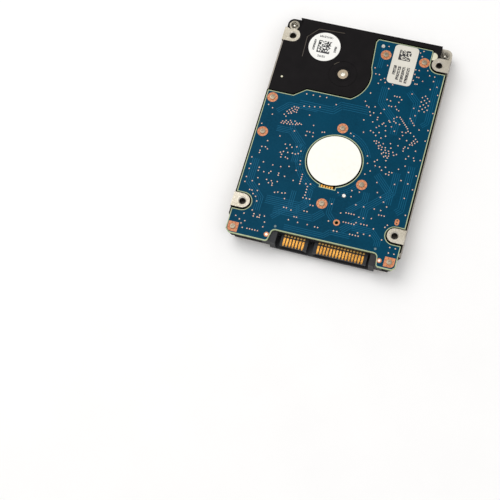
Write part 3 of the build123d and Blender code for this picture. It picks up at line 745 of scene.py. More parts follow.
def word(centre: Triple, length: float, height: float, seed: int, upright: bool = False,
         facing: Facing = Facing.UP) -> Print:
    """Describes a row of word-like marks that spell nothing.

    Args:
        centre: The middle of the row.
        length: How long the row is.
        height: How tall its marks are.
        seed: The number that its marks are drawn from.
        upright: Whether the row runs along Y.
        facing: The side that the row faces.

    Returns:
        The row, ready to be built.
    """
    marks = max(2, round(length / (0.72 * height)))
    if upright:
        return Print(centre, (height, length), 5, 4 * marks, 0.62, 0, facing, seed)
    return Print(centre, (length, height), 4 * marks, 5, 0.62, 4, facing, seed)


def ink(rows: Sequence[Print], finish: Finish, name: str) -> None:
    """Builds several prints as one inked piece.

    Args:
        rows: The prints.
        finish: The ink's finish.
        name: The piece's name.
    """
    pieces = [row.build(f"{name}_{number}") for number, row in enumerate(rows)]
    hand_over(join(pieces, name), Slot.LABEL, finish)


# ---------------------------------------------------------------- studio


@dataclass
class Studio:
    """Floor, soft lights and camera."""

    azimuth: float = 28.58
    elevation: float = 68.96
    roll: float = -13.56
    distance: float = 519.55
    aside: Point = (37.16, 42.17)
    lens: float = 91.7
    sensor: float = 36.0
    floor_size: float = 6.0
    floor_drop: float = 0.03
    sky: float = 0.62
    key: tuple[Triple, float] = ((-0.35, 0.15, 0.65), 2.6)
    fill: tuple[Triple, float] = ((0.4, -0.35, 0.65), 1.3)
    box_size: float = 0.6

    def build(self) -> None:
        """Sets up the whole studio."""
        self.floor()
        self.camera()
        self.lights()

    def floor(self) -> None:
        """Lays a plain pale floor under the drive."""
        release()
        bpy.ops.mesh.primitive_plane_add(
            size=self.floor_size, location=(0.0, 0.0, -self.floor_drop * MM)
        )
        floor = settle(bpy.context.object, "studio_floor")
        dress(floor, FLOOR)

    def camera(self) -> None:
        """Places the camera, which looks down on the board side."""
        a, e, r = (math.radians(v) for v in (self.azimuth, self.elevation, self.roll))
        back = Vector((math.sin(a) * math.cos(e), -math.cos(a) * math.cos(e), math.sin(e)))
        right = Vector((math.cos(a), math.sin(a), 0.0))
        up = back.cross(right)
        right, up = (
            math.cos(r) * right + math.sin(r) * up,
            -math.sin(r) * right + math.cos(r) * up,
        )
        place = self.distance * back - self.aside[0] * right - self.aside[1] * up
        bpy.ops.object.camera_add()
        camera = bpy.context.object
        camera.name = "studio_camera"
        turn = Matrix((right, up, back)).transposed().to_4x4()
        camera.matrix_world = Matrix.Translation(place * MM) @ turn
        camera.data.lens = self.lens
        camera.data.sensor_width = self.sensor
        camera.data.clip_start = 0.01
        bpy.context.scene.camera = camera

    def lights(self) -> None:
        """Hangs two soft boxes and an even sky."""
        scene = bpy.context.scene
        scene.view_settings.view_transform = "Standard"
        scene.world = scene.world or bpy.data.worlds.new("studio_sky")
        scene.world.use_nodes = True
        sky = scene.world.node_tree.nodes["Background"]
        sky.inputs["Color"].default_value = (1.0, 1.0, 1.0, 1.0)
        sky.inputs["Strength"].default_value = self.sky
        self.softbox("key_softbox", *self.key)
        self.softbox("fill_softbox", *self.fill)

    def softbox(self, name: str, place: Triple, power: float) -> None:
        """Hangs one square soft box that faces the drive.

        Args:
            name: The light's name.
            place: Where it hangs, in metres.
            power: Its power in watts.
        """
        bpy.ops.object.light_add(type="AREA", location=place)
        box = bpy.context.object
        box.name = name
        box.data.size = self.box_size
        box.data.energy = power
        box.rotation_euler = Vector(place).to_track_quat("Z", "Y").to_euler()


# ---------------------------------------------------------------- casting


class Surface(Enum):
    """The casting's surfaces, numbered as its materials are."""

    COAT = 0
    BARE = 1
    HOLE = 2
    SIDE = 3
    LINE = 4
    # Walls deep in the holes, darker as painted shade.
    DEEP = 5


@dataclass
class Casting:
    """The black coated casting with its bare machined spots."""

    tabs: tuple[Point, ...] = ((-30.86, -36.1), (30.86, -36.1), (-30.86, 40.5), (30.86, 40.5))
    tab_radius: float = 3.1
    sink_radius: float = 1.75
    side_hole_z: float = 6.5
    bosses: tuple[Point, ...] = ((-32.0, 46.9), (32.0, 46.9))
    boss_radius: float = 2.15
    boss_rise: float = 0.4
    boss_bore: float = 0.8
    tip_radius: float = 0.62
    shelf: float = 5.9
    land: float = 9.4
    hole_end: float = 6.0
    sink_end: float = 9.0
    side_hole_end: float = 32.2
    side_sink_end: float = 34.4
    side_face: float = 34.0
    dot: Point = (-30.25, 20.8)
    plug: Point = (27.7, 43.8)
    plug_cut: float = 27.45

    def coat(self, place: Vector, normal: Vector) -> Surface:
        """Says which surface the casting has at a place.

        Args:
            place: The middle of one of its faces.
            normal: The way that the face looks.

        Returns:
            The face's surface.
        """
        for x, y in self.tabs:
            if place.x * x < 0:
                continue
            away = math.hypot(place.x - x, place.y - y)
            level = math.hypot(place.y - y, place.z - self.side_hole_z)
            # Below the countersinks the walls take the darker copy of the metal as painted shade.
            if away < self.sink_radius and place.z > self.hole_end:
                return Surface.HOLE if place.z > self.sink_end else Surface.DEEP
            if level < self.sink_radius and abs(place.x) > self.side_hole_end:
                return Surface.HOLE if abs(place.x) > self.side_sink_end else Surface.DEEP
            beside = abs(place.y - y) < self.tab_radius
            if beside and abs(place.x) > abs(x) - self.tab_radius and place.z > self.land:
                return Surface.BARE
        on_shelf = abs(place.z - self.shelf) < 0.05 and normal.z > 0.9
        if on_shelf and place.y > 43 and place.x > 0:
            return Surface.BARE
        # The outer side walls take the side metal, lightened as painted light.
        if abs(place.x) > self.side_face and abs(normal.x) > 0.3 and place.x * normal.x > 0:
            return Surface.SIDE
        pressed = self.land - 0.2 < place.z < self.land - 0.02
        if pressed and place.y > 31 and place.x < -9:
            return Surface.LINE
        return Surface.COAT

    def build(self) -> None:
        """Dresses the casting and adds its bosses, strips of painted shade, paint dot and plug."""
        casting = frame["nodes"]["base_casting"]
        dress(casting, BLACK_COAT, BARE_METAL, HOLE_METAL, SIDE_METAL, RUBBED_LINE, DEEP_SHADE_METAL)
        for face in casting.data.polygons:
            face.material_index = self.coat(face.center / MM, face.normal).value
        self.add_bosses()
        self.add_gap_shade()
        self.add_spots()

    def add_bosses(self) -> None:
        """Adds the machined rings round the cover screws' through holes."""
        top = self.shelf + self.boss_rise
        ring = washer("boss", self.boss_radius, self.boss_bore, self.shelf - 0.05, top)
        soften(ring, 0.15, lambda place, way: place.z > top - 0.01, 3)
        bosses = repeat(ring, self.bosses, "corner_bosses")
        tip_top = self.shelf + 0.15
        tip = drum("tip", (0.0, 0.0), self.tip_radius, 4.0, tip_top, 24)
        soften(tip, 0.3, lambda place, way: place.z > tip_top - 0.01, 3)
        tips = repeat(tip, self.bosses, "screw_tips")
        for piece, finish in ((bosses, BARE_METAL), (tips, HOLE_METAL)):
            smooth(piece)
            hand_over(piece, Slot.CASTING, finish)

    def add_gap_shade(self) -> None:
        """Adds strips of painted shade between the corner shelves and their tabs, where the walls
        between them fall dark.
        """
        low, high = self.shelf - 0.02, self.shelf + 0.12
        strips = join(
            [
                block("strip", (-34.85, 43.35, low), (-29.4, 44.3, high)),
                block("strip", (30.5, 43.82, low), (34.6, 44.35, high)),
            ],
            "shelf_gap_shade",
        )
        soften(strips, 0.04, lambda place, way: place.z > high - 0.02)
        # The strips take near-black as painted shade.
        hand_over(strips, Slot.CASTING, GAP_SHADE_BLACK)

    def add_spots(self) -> None:
        """Adds the small white paint dot on the land and the cream plug by the board."""
        dot = drum("paint_dot", self.dot, 0.45, self.land - 0.005, self.land + 0.04, 20)
        soften(dot, 0.03, lambda place, way: place.z > self.land + 0.03)
        plug = drum("cream_plug", self.plug, 1.75, self.land - 0.04, self.land + 0.06, 40)
        take(plug)
        bpy.ops.object.mode_set(mode="EDIT")
        bpy.ops.mesh.select_all(action="SELECT")
        bpy.ops.mesh.bisect(plane_co=(self.plug_cut * MM, 0.0, 0.0), plane_no=(1.0, 0.0, 0.0),
                            use_fill=True, clear_inner=True)
        release()
        soften(plug, 0.03, lambda place, way: place.z > self.land + 0.05)
        for piece in (dot, plug):
            hand_over(piece, Slot.CASTING, CREAM)


# ---------------------------------------------------------------- circuit board


@dataclass(frozen=True)
class Row:
    """Evenly spaced vias from one place to another."""

    start: Point
    end: Point
    count: int

    def places(self) -> list[Point]:
        """Lists the places of the vias.

        Returns:
            One place for each via.
        """
        steps = [n / (self.count - 1) for n in range(self.count)]
        (x0, y0), (x1, y1) = self.start, self.end
        return [(x0 + (x1 - x0) * t, y0 + (y1 - y0) * t) for t in steps]


@dataclass(frozen=True)
class Bundle:
    """Parallel copper lanes under the mask, which follow one route."""

    route: tuple[Point, ...]
    lanes: int = 4
    pitch: float = 0.8
    width: float = 0.24

    def lane(self, number: int) -> list[Vector]:
        """Gives the corners of one lane, with mitred bends.

        Args:
            number: The lane, counted from the right of the route.

        Returns:
            Its corners from the route's start to its end.
        """
        off = (number - (self.lanes - 1) / 2) * self.pitch
        points = [Vector(p) for p in self.route]
        ways = [(b - a).normalized() for a, b in zip(points, points[1:])]
        sides = [Vector((-w.y, w.x)) for w in ways]
        corners = [points[0] + sides[0] * off]
        for at in range(1, len(points) - 1):
            half = (sides[at - 1] + sides[at]).normalized()
            corners.append(points[at] + half * (off / half.dot(sides[at])))
        corners.append(points[-1] + sides[-1] * off)
        return corners


ROWS: tuple[Row, ...] = (
    Row((-10.7, -19.4), (-10.7, -23.5), 5),
    Row((-7.4, -24.0), (-7.4, -27.8), 4),
    Row((-7.9, -29.0), (-5.2, -29.0), 3),
    Row((10.2, -31.2), (13.4, -31.2), 4),
    Row((10.1, -35.2), (14.4, -35.2), 5),
    Row((17.0, -34.4), (19.4, -34.4), 3),
    Row((13.8, -39.6), (17.2, -39.6), 4),
    Row((16.6, -38.3), (21.5, -38.3), 3),
    Row((22.8, -29.0), (25.0, -29.0), 3),
    Row((20.0, -19.9), (25.0, -25.0), 4),
    Row((27.6, 24.8), (27.6, 18.7), 4),
    Row((28.7, 25.7), (28.7, 19.7), 4),
    Row((29.7, 24.8), (29.7, 18.7), 4),
    Row((30.7, 23.8), (30.7, 19.7), 3),
    Row((21.0, 14.1), (25.0, 9.9), 7),
    Row((25.0, 14.5), (27.2, 11.9), 4),
    Row((29.2, 6.1), (27.5, 3.2), 4),
    Row((30.1, 5.2), (28.5, 3.3), 3),
    Row((-17.9, 10.0), (-11.5, 11.1), 4),
    Row((-18.3, 15.6), (-10.0, 15.9), 4),
    Row((30.2, -41.2), (32.4, -41.2), 2),
    Row((30.2, -43.5), (32.4, -43.5), 2),
    Row((-25.9, -46.9), (-21.6, -46.9), 5),
    Row((-24.0, 6.1), (-21.7, 8.8), 4),
    Row((-23.2, 5.4), (-21.1, 7.8), 4),
    Row((-22.1, 5.7), (-20.2, 7.6), 3),
    Row((-20.7, 8.8), (-19.9, 8.7), 2),
    Row((-24.8, 4.6), (-23.9, 3.9), 2),
)

LEFT_VIAS: tuple[Point, ...] = (
    (-32.6, -1.5), (-18.8, -1.7), (-13.8, -0.7), (-12.7, -0.7), (-11.2, -0.7), (-13.8, -2.5),
    (-11.0, -2.3), (-23.9, -5.2), (-28.2, -8.4), (-20.8, -8.2), (-18.9, -8.0), (-17.9, -8.9),
    (-16.0, -8.3), (-19.8, -9.8), (-13.9, -9.7), (-29.8, -11.4), (-28.3, -11.2), (-27.3, -11.9),
    (-30.0, -13.2), (-30.0, -14.2), (-21.8, -12.1), (-20.7, -11.5), (-18.9, -11.5),
    (-17.0, -11.4), (-15.8, -11.5), (-14.7, -11.0), (-21.1, -12.9), (-21.1, -14.1),
    (-19.3, -13.7), (-18.3, -14.1), (-13.0, -13.9), (-12.8, -15.4), (-32.4, -16.8),
    (-16.8, -17.3), (-27.3, -17.8), (-23.3, -18.2), (-20.0, -18.2), (-13.6, -18.3),
    (-32.1, -19.8), (-28.3, -20.5), (-28.3, -21.9), (-23.3, -21.1), (-23.9, -22.0),
    (-20.0, -21.1), (-20.0, -22.0), (-32.1, -21.9), (-26.0, -21.9), (-17.4, -21.9),
    (-13.6, -22.8), (-8.3, -23.0), (-6.5, -22.7), (-32.2, -25.6), (-32.2, -27.8),
    (-27.6, -25.0), (-24.0, -24.9), (-22.0, -25.0), (-19.6, -24.8), (-22.9, -26.1),
    (-21.4, -25.9), (-21.3, -26.8), (-29.4, -26.8), (-26.3, -27.6), (-19.4, -29.5),
    (-18.2, -29.1), (-16.5, -29.1), (-15.3, -28.8), (-29.4, -30.7), (-28.4, -30.7),
    (-26.3, -30.4), (-14.9, -31.2), (-27.6, -32.1), (-26.3, -33.0), (-25.3, -34.8),
    (-26.0, -38.9), (-4.3, -31.4), (-3.2, -31.4), (3.8, -28.9), (-6.0, -34.4), (-4.8, -34.4),
    (-14.2, -34.8), (-13.1, -34.8), (-11.1, -35.3), (-9.2, -37.7), (-8.2, -37.7),
    (-11.0, -39.5), (-7.2, -39.7), (-3.3, -39.7), (-0.2, -39.9), (1.0, -39.9),
    (-25.0, 0.7), (-24.6, 1.5), (-23.3, 2.1), (-24.0, 0.6), (-23.6, 1.3), (-22.3, 1.6),
    (-21.6, 2.5), (-22.6, 0.8), (-21.0, 1.8), (-21.4, 0.8), (-20.3, 1.1), (-19.7, 2.6),
    (-19.1, 1.2), (-18.8, 1.9), (-18.2, 1.5), (-17.7, 2.1), (-16.9, 1.8), (-20.2, 6.6),
    (-24.9, -40.3), (-22.5, -40.3), (-20.6, -40.3), (-24.9, -41.3), (-23.3, -41.3),
    (-22.5, -41.3), (-28.8, -41.0), (-19.9, -42.7), (-20.0, -44.8), (-31.7, -42.7),
    (-29.9, -43.8), (-27.6, -44.0), (-28.8, -45.3), (-27.8, -47.0),
)

RIGHT_VIAS: tuple[Point, ...] = (
    (7.3, -39.7), (8.7, -39.7), (26.4, -38.9), (5.0, -23.6), (10.1, -21.5), (13.1, -21.4),
    (10.4, -24.1), (13.1, -27.0), (16.3, -27.1), (20.5, -27.0), (23.1, -27.0), (32.9, -26.7),
    (8.2, -31.8), (15.5, -31.8), (17.3, -31.8), (20.4, -31.2), (27.1, -32.4), (26.4, -33.5),
    (15.0, -34.3), (22.2, -35.2), (4.4, -36.2), (12.4, -5.5), (16.6, -6.3), (15.7, -7.2),
    (13.2, -8.6), (16.4, -8.9), (18.2, -9.0), (20.5, -8.6), (19.3, -10.2), (22.4, -10.3),
    (23.5, -10.3), (21.3, -11.4), (22.5, -11.5), (15.0, -11.6), (13.3, -13.4), (18.8, -15.8),
    (28.2, -1.8), (30.3, -2.1), (30.8, -3.2), (27.4, -3.2), (33.1, -2.5), (27.9, -6.3),
    (25.7, -8.2), (29.8, -8.6), (33.1, -9.4), (27.8, -12.7), (30.7, -13.5), (25.7, -14.9),
    (33.1, -15.5), (30.8, -19.8), (13.4, 1.5), (14.3, 1.7), (14.4, 0.7), (15.4, 1.3), (17.2, 1.2),
    (16.2, 0.2), (20.6, 0.0), (15.6, -0.2), (17.1, -0.4), (18.4, -0.3), (15.9, -1.2),
    (17.1, -1.5), (18.6, -1.4), (20.0, -1.5), (21.8, -1.6), (23.4, -2.2), (22.4, -2.8),
    (18.2, -2.5), (19.2, -2.5), (20.4, -2.5), (17.6, -3.2), (20.5, -3.6), (19.4, -3.8),
    (18.7, -4.3), (20.2, -4.5), (20.0, -5.8),
)

FAR_VIAS: tuple[Point, ...] = (
    (9.0, 44.5), (23.4, 45.5), (22.2, 44.5), (23.3, 43.0), (10.5, 35.8), (5.8, 33.6),
    (6.8, 31.0), (8.3, 31.0), (10.7, 29.7), (9.4, 28.8), (11.4, 28.0), (8.8, 27.0),
    (14.6, 27.7), (13.5, 25.6), (22.1, 36.5), (23.5, 36.5), (26.9, 37.2), (28.2, 35.1),
    (30.3, 35.0), (22.2, 34.4), (23.3, 33.3), (24.1, 33.3), (30.3, 32.9), (26.0, 32.0),
    (22.2, 31.5), (23.3, 30.1), (24.1, 30.2), (32.2, 30.7), (29.8, 29.1), (33.3, 27.2),
    (23.2, 25.4), (25.3, 19.3), (33.3, 18.8), (26.6, 16.2), (6.8, 22.0), (16.6, 22.9),
    (17.6, 22.8), (18.7, 22.9), (19.7, 21.9), (14.0, 20.7), (15.5, 20.4), (18.9, 20.5),
    (15.4, 18.1), (16.5, 18.0), (18.0, 18.4), (18.8, 17.2), (19.7, 16.8), (5.7, 17.9),
    (6.7, 16.1), (7.7, 15.7), (10.1, 16.4), (13.9, 16.1), (-5.4, 13.7), (-14.7, 6.6),
    (-32.2, 7.4), (-30.2, 6.3), (-29.5, 3.5), (-11.9, 2.5), (-7.8, 0.4), (-6.9, 0.6),
    (3.5, 2.6), (4.95, 1.7), (8.3, 4.3), (7.1, 9.6), (8.6, 13.7), (9.2, 12.2), (10.2, 13.6),
    (13.0, 14.1), (12.3, 12.0), (12.3, 11.0), (17.0, 11.6), (17.5, 11.1), (19.7, 13.9),
    (18.7, 13.0), (19.0, 11.8), (19.9, 11.3), (21.5, 11.0), (15.2, 10.1), (14.8, 9.5),
    (10.8, 9.6), (13.7, 8.4), (16.3, 9.0), (18.6, 9.2), (12.8, 7.5), (16.7, 7.0), (20.2, 7.6),
    (23.3, 7.9), (24.8, 8.0), (25.5, 8.8), (26.6, 8.3), (28.2, 7.2), (23.8, 6.5), (29.6, 10.4),
    (33.1, 11.0), (33.1, 6.2), (10.9, 5.6), (12.2, 5.1), (14.4, 5.6), (13.4, 4.0), (17.3, 4.6),
    (15.7, 3.4), (23.0, 4.8), (25.9, 4.7), (25.9, 1.8), (27.2, 1.6), (25.5, 1.0), (23.1, 1.7),
    (20.0, 1.9), (30.4, 1.0), (25.6, -0.1),
)

ROUND_PADS: tuple[Point, ...] = (
    (-31.5, 11.0), (-31.3, -4.8), (8.8, 40.4), (24.8, 40.4), (-0.2, 3.95), (13.2, -18.2),
    (0.0, -29.7),
)
CORNER_PADS: tuple[Triple, ...] = ((-31.6, -47.4, 180.0), (31.45, -47.2, 270.0))


def arc(radius: float, start: float, end: float, steps: int = 14) -> tuple[Point, ...]:
    """Lists the corners of a route that runs round the spindle.

    Args:
        radius: The arc's radius.
        start: Its first angle in degrees, from +X.
        end: Its last angle.
        steps: How many straight runs it has.

    Returns:
        The corners of the route.
    """
    turns = [math.radians(start + (end - start) * n / steps) for n in range(steps + 1)]
    return tuple(
        (SPINDLE[0] + radius * math.cos(t), SPINDLE[1] + radius * math.sin(t)) for t in turns
    )


BUNDLES: tuple[Bundle, ...] = (
    Bundle(arc(14.2, 165.0, 250.0)),
    Bundle(arc(14.0, 290.0, 325.0, 8), 3),
    Bundle(arc(13.6, 20.0, 75.0, 10), 3),
    Bundle(((-13.5, -7.0), (-20.0, -0.5), (-20.0, 3.0)), 3),
    Bundle(((-6.0, -25.2), (-6.0, -31.5), (-9.5, -35.0), (-16.0, -35.0)), 4, 0.72),
    Bundle(((3.5, -26.5), (3.5, -33.0), (6.0, -35.5)), 3),
    Bundle(((-18.0, -36.6), (-2.0, -36.6), (1.5, -33.1))),
    Bundle(((16.0, -21.0), (16.0, -25.0), (10.5, -30.5)), 4, 0.72),
    Bundle(((-20.0, 10.8), (-6.0, 10.8), (-3.0, 13.8), (8.0, 13.8)), 4, 0.96),
    Bundle(((-28.0, 5.5), (-24.0, 9.5), (-12.0, 9.5)), 3),
    Bundle(((10.0, -39.0), (17.0, -32.0), (17.0, -27.5), (25.6, -18.9), (25.6, -10.0))),
    Bundle(((30.6, -6.0), (30.6, -25.0), (29.0, -26.6))),
    Bundle(((-22.0, -33.0), (-8.0, -33.0), (-5.5, -30.5)), 5),
    Bundle(((-30.5, -17.0), (-30.5, -27.0), (-24.5, -33.0), (-24.5, -38.5))),
    Bundle(((-26.0, -2.0), (-20.0, -2.0), (-15.5, -6.5), (-15.5, -15.0)), 4, 0.72),
    Bundle(((12.0, 26.0), (12.0, 19.0), (20.0, 11.0), (20.0, 6.0))),
    Bundle(((31.8, 34.0), (31.8, 14.0), (30.0, 12.2)), 3),
    Bundle(((7.5, 43.0), (7.5, 34.0)), 3),
    Bundle(((14.0, -36.6), (22.0, -36.6), (25.0, -39.6), (25.0, -42.0)), 4, 0.72),
    Bundle(((-12.0, -42.6), (4.0, -42.6), (6.0, -40.6), (14.0, -40.6)), 3),
    Bundle(((22.0, 26.0), (26.0, 22.0), (26.0, 12.0))),
    Bundle(((-18.0, -40.0), (-12.0, -34.0), (-12.0, -27.0)), 3),
    Bundle(((18.0, -12.5), (25.0, -19.5), (25.0, -24.0))),
)


@dataclass
class CircuitBoard:
    """The board with its mask, lanes, vias and pads."""

    top: float = 8.9
    mask_thickness: float = 0.02
    bare_edge: float = 0.32
    via_radius: float = 0.27
    pad_radius: float = 2.15
    via_bore: float = 0.09
    eye_circle: float = 1.72
    corner_half: float = 2.05
    foot: float = 0.004
    pad_rise: float = 0.042
    flat_rise: float = 0.04
    tooling_hole: Point = (7.6, -36.1)
    capsule_holes: tuple[Point, ...] = ((30.4, -29.7), (30.4, -30.9))
    fiducials: tuple[Point, ...] = ((-15.3, -43.4), (24.9, -43.1))
    pegs: tuple[Point, ...] = ((-17.8, -47.5), (27.5, -47.4))
    peg_pads: Point = (1.0, 0.95)
    pins: tuple[Point, ...] = ((6.7, 44.1), (7.6, -24.4))

    def build(self) -> None:
        """Builds the board's pieces from the mask up."""
        board = frame["nodes"]["circuit_board"]
        dress(board, SUBSTRATE, MASK_GREEN)
        for face in board.data.polygons:
            face.material_index = int(face.normal.z < -0.9)
        self.add_mask()
        self.add_lanes()
        self.add_vias()
        self.add_round_pads()
        self.add_square_pads()
        self.add_small_pads()

    def add_mask(self) -> None:
        """Covers the board with its mask, short of every edge."""
        mask = node_copy("circuit_board", "solder_mask")
        pick(mask, Part.FACE, lambda place, normal: normal.z < 0.9 or place.z < self.top - 0.05)
        bpy.ops.mesh.delete(type="FACE")
        bpy.ops.mesh.select_all(action="SELECT")
        bpy.ops.mesh.inset(thickness=self.bare_edge * MM, use_boundary=True)
        bpy.ops.mesh.select_all(action="INVERT")
        bpy.ops.mesh.delete(type="FACE")
        release()
        thicken(mask, self.mask_thickness)
        hand_over(mask, Slot.MASK, MASK_GREEN)

    def add_lanes(self) -> None:
        """Lays the copper lanes that show faintly through the mask."""
        height, step = 0.009, 0.0003
        low = self.top + self.mask_thickness / 2 - self.foot
        bars = []
        for bundle in BUNDLES:
            low += step
            for number in range(bundle.lanes):
                lane = bundle.lane(number)
                for one, two in zip(lane, lane[1:]):
                    middle, way = (one + two) / 2, two - one
                    half = Vector((way.length / 2 + bundle.width / 4, bundle.width / 2))
                    ends = (*(middle - half), low), (*(middle + half), low + height)
                    bars.append(block("lane", *ends, math.atan2(way.y, way.x)))
        lanes = join(bars, "copper_lanes")
        hand_over(lanes, Slot.MASK, MASK_TRACE)

    def add_vias(self) -> None:
        """Models one via ring and copies it to every place."""
        low, high = self.top + 0.005, self.top + 0.03
        ring = drum("via", (0.0, 0.0), self.via_radius, low, high, 10)
        pick(ring, Part.FACE, lambda place, normal: normal.z > 0.9)
        bpy.ops.mesh.inset(thickness=(self.via_radius - self.via_bore) * MM)
        bpy.ops.mesh.extrude_region_move(
            TRANSFORM_OT_translate={"value": (0.0, 0.0, -0.012 * MM)}
        )
        release()
        # The via's shallow bore takes the dark hole colour as painted shade.
        for face in ring.data.polygons:
            out = math.hypot(face.center.x, face.center.y) / MM
            face.material_index = int(out < self.via_bore + 0.01 and face.center.z / MM > low + 0.001)
        places = [place for row in ROWS for place in row.places()]
        places += [*LEFT_VIAS, *RIGHT_VIAS, *FAR_VIAS]
        vias = repeat(ring, places, "vias")
        hand_over(vias, Slot.MASK, VIA_TIN, VIA_HOLE_SHADE)

    def pad_eyes(self, name: str) -> bpy.types.Object:
        """Models eight small via eyes in a ring.

        Args:
            name: The piece's name.

        Returns:
            The eyes, about the origin.
        """
        eye = drum("eye", (0.0, 0.0), 0.2, self.top + 0.03, self.top + 0.05, 10)
        turns = [math.radians(22.5 + 45 * n) for n in range(8)]
        places = [(self.eye_circle * math.cos(t), self.eye_circle * math.sin(t)) for t in turns]
        return repeat(eye, places, name)

    def add_round_pads(self) -> None:
        """Adds the round copper pads under the screw heads."""
        low, high = self.top + self.foot, self.top + self.pad_rise
        disc = drum("round_pad", (0.0, 0.0), self.pad_radius, low, high, 40)
        soften(disc, 0.015, lambda place, way: place.z > high - 0.002)
        eyes = repeat(self.pad_eyes("pad_eyes"), ROUND_PADS, "round_pad_eyes")
        hand_over(repeat(disc, ROUND_PADS, "round_pads"), Slot.MASK, COPPER)
        hand_over(eyes, Slot.MASK, EYE_BROWN)

    def add_square_pads(self) -> None:
        """Adds the two corner pads, square but for one round corner."""
        low, high, half = self.top + self.foot, self.top + self.pad_rise, self.corner_half
        pad = block("square_pad", (-half, -half, low), (half, half, high))
        soften(pad, 1.6, lambda place, way: abs(way.z) > 0.9 and place.x > 0 and place.y > 0, 8)
        eyes = self.pad_eyes("corner_eyes")
        hand_over(repeat(pad, CORNER_PADS, "corner_pads"), Slot.MASK, COPPER)
        centres = [(x, y) for x, y, _ in CORNER_PADS]
        hand_over(repeat(eyes, centres, "corner_pad_eyes"), Slot.MASK, EYE_BROWN)

    def flat_pad(self, name: str, centre: Point, radius: float) -> bpy.types.Object:
        """Models a thin round pad.

        Args:
            name: The piece's name.
            centre: The pad's middle.
            radius: The pad's radius.

        Returns:
            The pad.
        """
        return drum(name, centre, radius, self.top + self.foot, self.top + self.flat_rise, 32)

    def dots(
        self, name: str, places: Sequence[Point], radius: float, rise: Point, sides: int
    ) -> bpy.types.Object:
        """Models small discs that are alike.

        Args:
            name: The name of the joined discs.
            places: Their middles.
            radius: Their radius.
            rise: Their lower and upper face over the board's top.
            sides: How many sides stand for the round.

        Returns:
            All discs as one piece.
        """
        low, high = (self.top + r for r in rise)
        return join([drum("dot", place, radius, low, high, sides) for place in places], name)

    def add_small_pads(self) -> None:
        """Adds the tooling hole's ring, peg pads, capsule, fiducials, pegs and pin collars."""
        low, high = self.top + self.foot, self.top + self.flat_rise
        ring = washer("tooling_ring", 1.3, 0.78, low, high, 32)
        pieces = [repeat(ring, (self.tooling_hole,), "tooling_ring")]
        pieces += [self.flat_pad("peg_pad", *pad) for pad in zip(self.pegs, self.peg_pads)]
        capsule = block("capsule", (29.55, -31.65, low), (31.25, -28.95, high))
        soften(capsule, 0.84, lambda place, way: abs(way.z) > 0.9, 8)
        pads = join([*pieces, capsule], "small_pads")
        hand_over(pads, Slot.MASK, COPPER)
        # The capsule's holes are dark discs of painted shade.
        eyes = self.dots("capsule_eyes", self.capsule_holes, 0.3, (0.03, 0.046), 20)
        hand_over(eyes, Slot.MASK, VIA_HOLE_SHADE)
        marks = self.dots("fiducials", self.fiducials, 0.5, (self.foot, 0.035), 24)
        hand_over(marks, Slot.MASK, FIDUCIAL)
        pegs = self.dots("pegs", self.pegs, 0.5, (0.02, 0.07), 24)
        soften(pegs, 0.02, lambda place, way: place.z > self.top + 0.06)
        hand_over(pegs, Slot.MASK, TIN_AND_HIGHLIGHT)
        collars = self.dots("pin_collars", self.pins, 1.3, (-0.01, 0.014), 40)
        soften(collars, 0.006, lambda place, way: place.z > self.top + 0.01)
        hand_over(collars, Slot.MASK, MASK_GREEN)


# ---------------------------------------------------------------- screws


LOBES = 6
LOBE_PINCH = 0.72


@dataclass
class ScrewSet:
    """Six-lobed screws with rounded heads, all alike.

    The head reaches from its seat, up or down. The shank goes the other way to its end.
    """

    name: str
    places: tuple[Point, ...]
    head_radius: float
    seat: float
    head: float
    recess: float
    depth: float
    shank_radius: float
    shank_end: float
    finish: Finish
    slot: Slot
    node: str

    def model(self) -> bpy.types.Object:
        """Models one screw at the origin, its head's face up or down.

        Returns:
            The screw, dressed.
        """
        up = self.head > self.seat
        low, high = sorted((self.seat, self.head))
        screw = drum(self.name, (0.0, 0.0), self.head_radius, low, high, 36)
        sign = 1.0 if up else -1.0
        pick(screw, Part.FACE, lambda place, normal: normal.z * sign > 0.9)
        bpy.ops.mesh.inset(thickness=(self.head_radius - self.recess) * MM)
        release()

        def valley(place: Vector, _: Vector) -> bool:
            """Says whether a vertex of the recess lies between two lobes.

            Args:
                place: The vertex.

            Returns:
                True where the recess is pinched.
            """
            turn = math.atan2(place.y, place.x)
            near = math.hypot(place.x, place.y) < self.recess + 0.05
            return near and math.cos(LOBES * turn) < -0.2 and (place.z - self.seat) * sign > 0.01

        pick(screw, Part.VERTEX, valley)
        bpy.ops.transform.resize(
            value=(LOBE_PINCH, LOBE_PINCH, 1.0), center_override=(0.0, 0.0, 0.0)
        )
        pick(screw, Part.FACE, lambda place, normal: normal.z * sign > 0.9
             and math.hypot(place.x, place.y) < 0.05)
        bpy.ops.mesh.extrude_region_move(
            TRANSFORM_OT_translate={"value": (0.0, 0.0, -self.depth * sign * MM)}
        )
        release()
        soften(screw, 0.14, lambda place, way: abs(place.z - self.head) < 0.005
               and math.hypot(place.x, place.y) > self.head_radius - 0.05, 3)
        ends = sorted((self.seat, self.shank_end))
        shank = drum("shank", (0.0, 0.0), self.shank_radius, ends[0], ends[1], 24)
        # Painted highlight: the recess floor takes bright tin for the bright spot at its centre.
        for face in screw.data.polygons:
            inside = math.hypot(face.center.x, face.center.y) / MM < self.recess + 0.01
            face.material_index = int(inside and (face.center.z / MM - self.seat) * sign > 0.01)
        dress(screw, self.finish, TIN_AND_HIGHLIGHT)
        dress(shank, self.finish)
        return join([screw, shank], self.name)

    def build(self) -> None:
        """Copies the screw to its places and puts it in for the CAD ones."""
        screws = repeat(self.model(), self.places, self.name)
        smooth(screws)
        hand_over(screws, self.slot, replaced=self.node)


